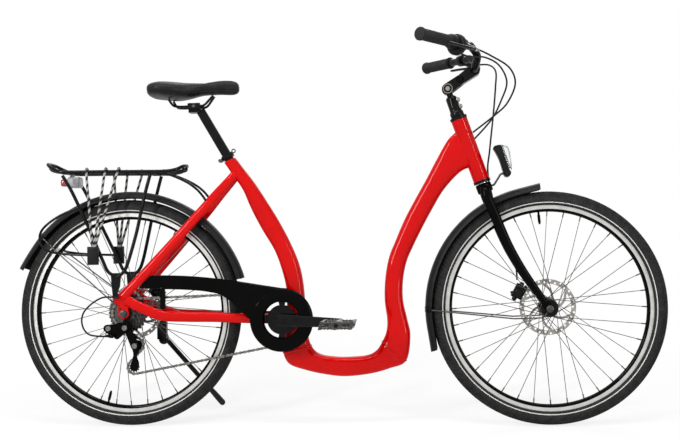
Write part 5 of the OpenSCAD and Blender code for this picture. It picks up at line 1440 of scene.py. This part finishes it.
def holed_ring(axle, y, count=30, r0=66.0, r1=79.5, hole=3.1, shift=2.4, t=2.0, cols=32):
    """Sectors in polar form (radius, angle*mid radius): row one runs round the edge of a sector's box,
    row two round the hole, then both again on the other face. The box's edge is the circle divided by
    its larger coordinate. Holes lie off the middle by shift, inwards and outwards in turn."""
    a = np.linspace(0, 2 * np.pi, cols, endpoint=False) + np.pi / cols
    u = np.stack([np.cos(a), np.sin(a)], 1)
    box = u / np.abs(u).max(1, keepdims=True)
    mid = (r0 + r1) / 2
    sheets = []
    for k in range(count):
        off = shift if k % 2 else -shift
        r = mid + np.stack([box[:, 0] * (r1 - r0) / 2, hole * u[:, 0] + off])
        turn = 2 * np.pi * k / count + np.stack([box[:, 1] * np.pi / count, hole * u[:, 1] / mid])
        near, far = (wheel_point(axle, r, turn, y + s * t / 2) for s in (-1, 1))
        sheets.append(grid(np.concatenate([near, far[::-1]]), loop=True))
    return sheets


def rotor_arms(axle, y, count=6):
    """Flat bars that leave the inner ring and lean back before they meet the holed ring."""
    sheets = [lathe(flat_ring(22.2, 29, -1, 1), beside(axle, y), (0, 1, 0), 72)]
    for k in range(count):
        turn = 2 * np.pi * k / count + np.radians([0, 10, 24, 40])
        r = np.array([26, 38, 52, 67])
        line = curve(wheel_point(axle, r, turn, y), 6)
        sheets.append(grid(tube(line, 3.6, 0.95, 16, square=6)))
    return sheets


ROTOR_Y = {"front": 42.0, "rear": 52.0}
for word, axle in (("front", FRONT), ("rear", REAR)):
    steel = holed_ring(axle, ROTOR_Y[word]) + rotor_arms(axle, ROTOR_Y[word])
    build("brake_disc_" + word, steel, DISC, word + "_wheel", ["rotor_" + word])

# %% [markdown]
# A caliper is a small block on each side of the rotor, joined over its rim. It is drawn about the
# axle, at an angle and a reach.

# %% Calipers
ROTOR_EDGE = 80


def about(axle, y, angle, sheets):
    """Turns sheets drawn as (radius, sideways, tangent) to an angle about an axle, in the plane y."""
    a = np.radians(angle)
    turn = np.array([[np.cos(a), 0, np.sin(a)], [0, 1, 0], [-np.sin(a), 0, np.cos(a)]])
    return [(beside(axle, y) + v @ turn, *rest) for v, *rest in sheets]


def caliper(reach, inner):
    """Cheeks, a bridge over the rotor's rim, round piston housings, two ears and the arm that the cable
    pulls."""
    x = ROTOR_EDGE + reach
    soft = [block([x - 15, 3, -19], [x + 15, 15, 19], 4), block([x - 15, -inner, -19], [x + 15, -3, 19], 4),
            block([x + 6, -inner, -21], [x + 17, 16, 21], 5)]
    piston = [[2, 14], [12, 14], [13, 15], [13, 19], [11, 21], [2, 21.5]]
    far_cap = [[2, inner - 1], [11, inner - 1], [11, inner + 2], [9, inner + 3], [2, inner + 3]]
    round_parts = [lathe(piston, [x - 1, 0, 0], (0, 1, 0), 40), lathe(far_cap, [x - 1, 0, 0], (0, -1, 0), 40)]
    ears = [grid(tube(np.linspace([x + 4, 0, z], [x + 4, 0, z * 1.5], 4), [7, 7, 6.5, 5], [7, 7, 7, 6], 24))
            for z in (-19, 19)]
    pulled = curve([[x - 1, 17, 0], [x + 10, 18, 7], [x + 19, 18, 15]])
    return soft + round_parts + ears + [grid(tube(pulled, 5, 3, 20, up=(0, 1, 0), square=3))]


rear_foot = block([75, 58, 348], [87, 69, 374])
build("rear_brake", about(REAR, ROTOR_Y["rear"], 41, caliper(6, 16)) + [rear_foot], BLACK, "frame",
      ["rear_caliper"])
front_foot = grid(tube(np.linspace(FRONT + [-76, 53, 44], FRONT + [-56, 53, 58], 4), 6, sides=24))
build("front_brake", about(FRONT, ROTOR_Y["front"], 151, caliper(10, 9)) + [front_foot], BLACK, "steering",
      ["front_caliper"])

# %% [markdown]
# Each axle is a thin rod with a washer and a nut outside the frame or the fork. The nuts are turned in
# six steps, which makes them hexagons, and the ends of the rod are capped.

# %% Axles
NUT_REACH = 8.2


def axle_parts(axle, r, half, t):
    """Rod, inner spacers, washers and nuts of an axle of radius r. half is how far out the dropouts
    begin, and t is how thick they are."""
    place, outside = beside(axle), half + t
    end, bore = outside + NUT_REACH, r - 0.2
    shaft = [[1, -end - 3], [r - 0.5, -end - 3], [r, -end - 2],
             [r, end + 2], [r - 0.5, end + 3], [1, end + 3]]
    spacer = flat_ring(bore, r + 4, half - 3.8, half - 0.3)
    washer = flat_ring(bore, r + 6, outside, outside + 1.6)
    nut = [[bore, outside + 1], [r + 5, outside + 1], [r + 5, end - 1], [r + 3.5, end], [bore, end]]
    sides = [lathe(q, place, (0, s, 0), steps) for s in (1, -1)
             for q, steps in ((spacer, 32), (washer, 32), (nut, 6))]
    return [lathe(shaft, place, (0, 1, 0), 24)] + sides


build("axle_nuts_front", axle_parts(FRONT, 4.5, 50, 6), DARK, "steering", ["front_axle"])
build("axle_nuts_rear", axle_parts(REAR, 5, 67.5, 7), DARK, "frame", ["rear_axle"])
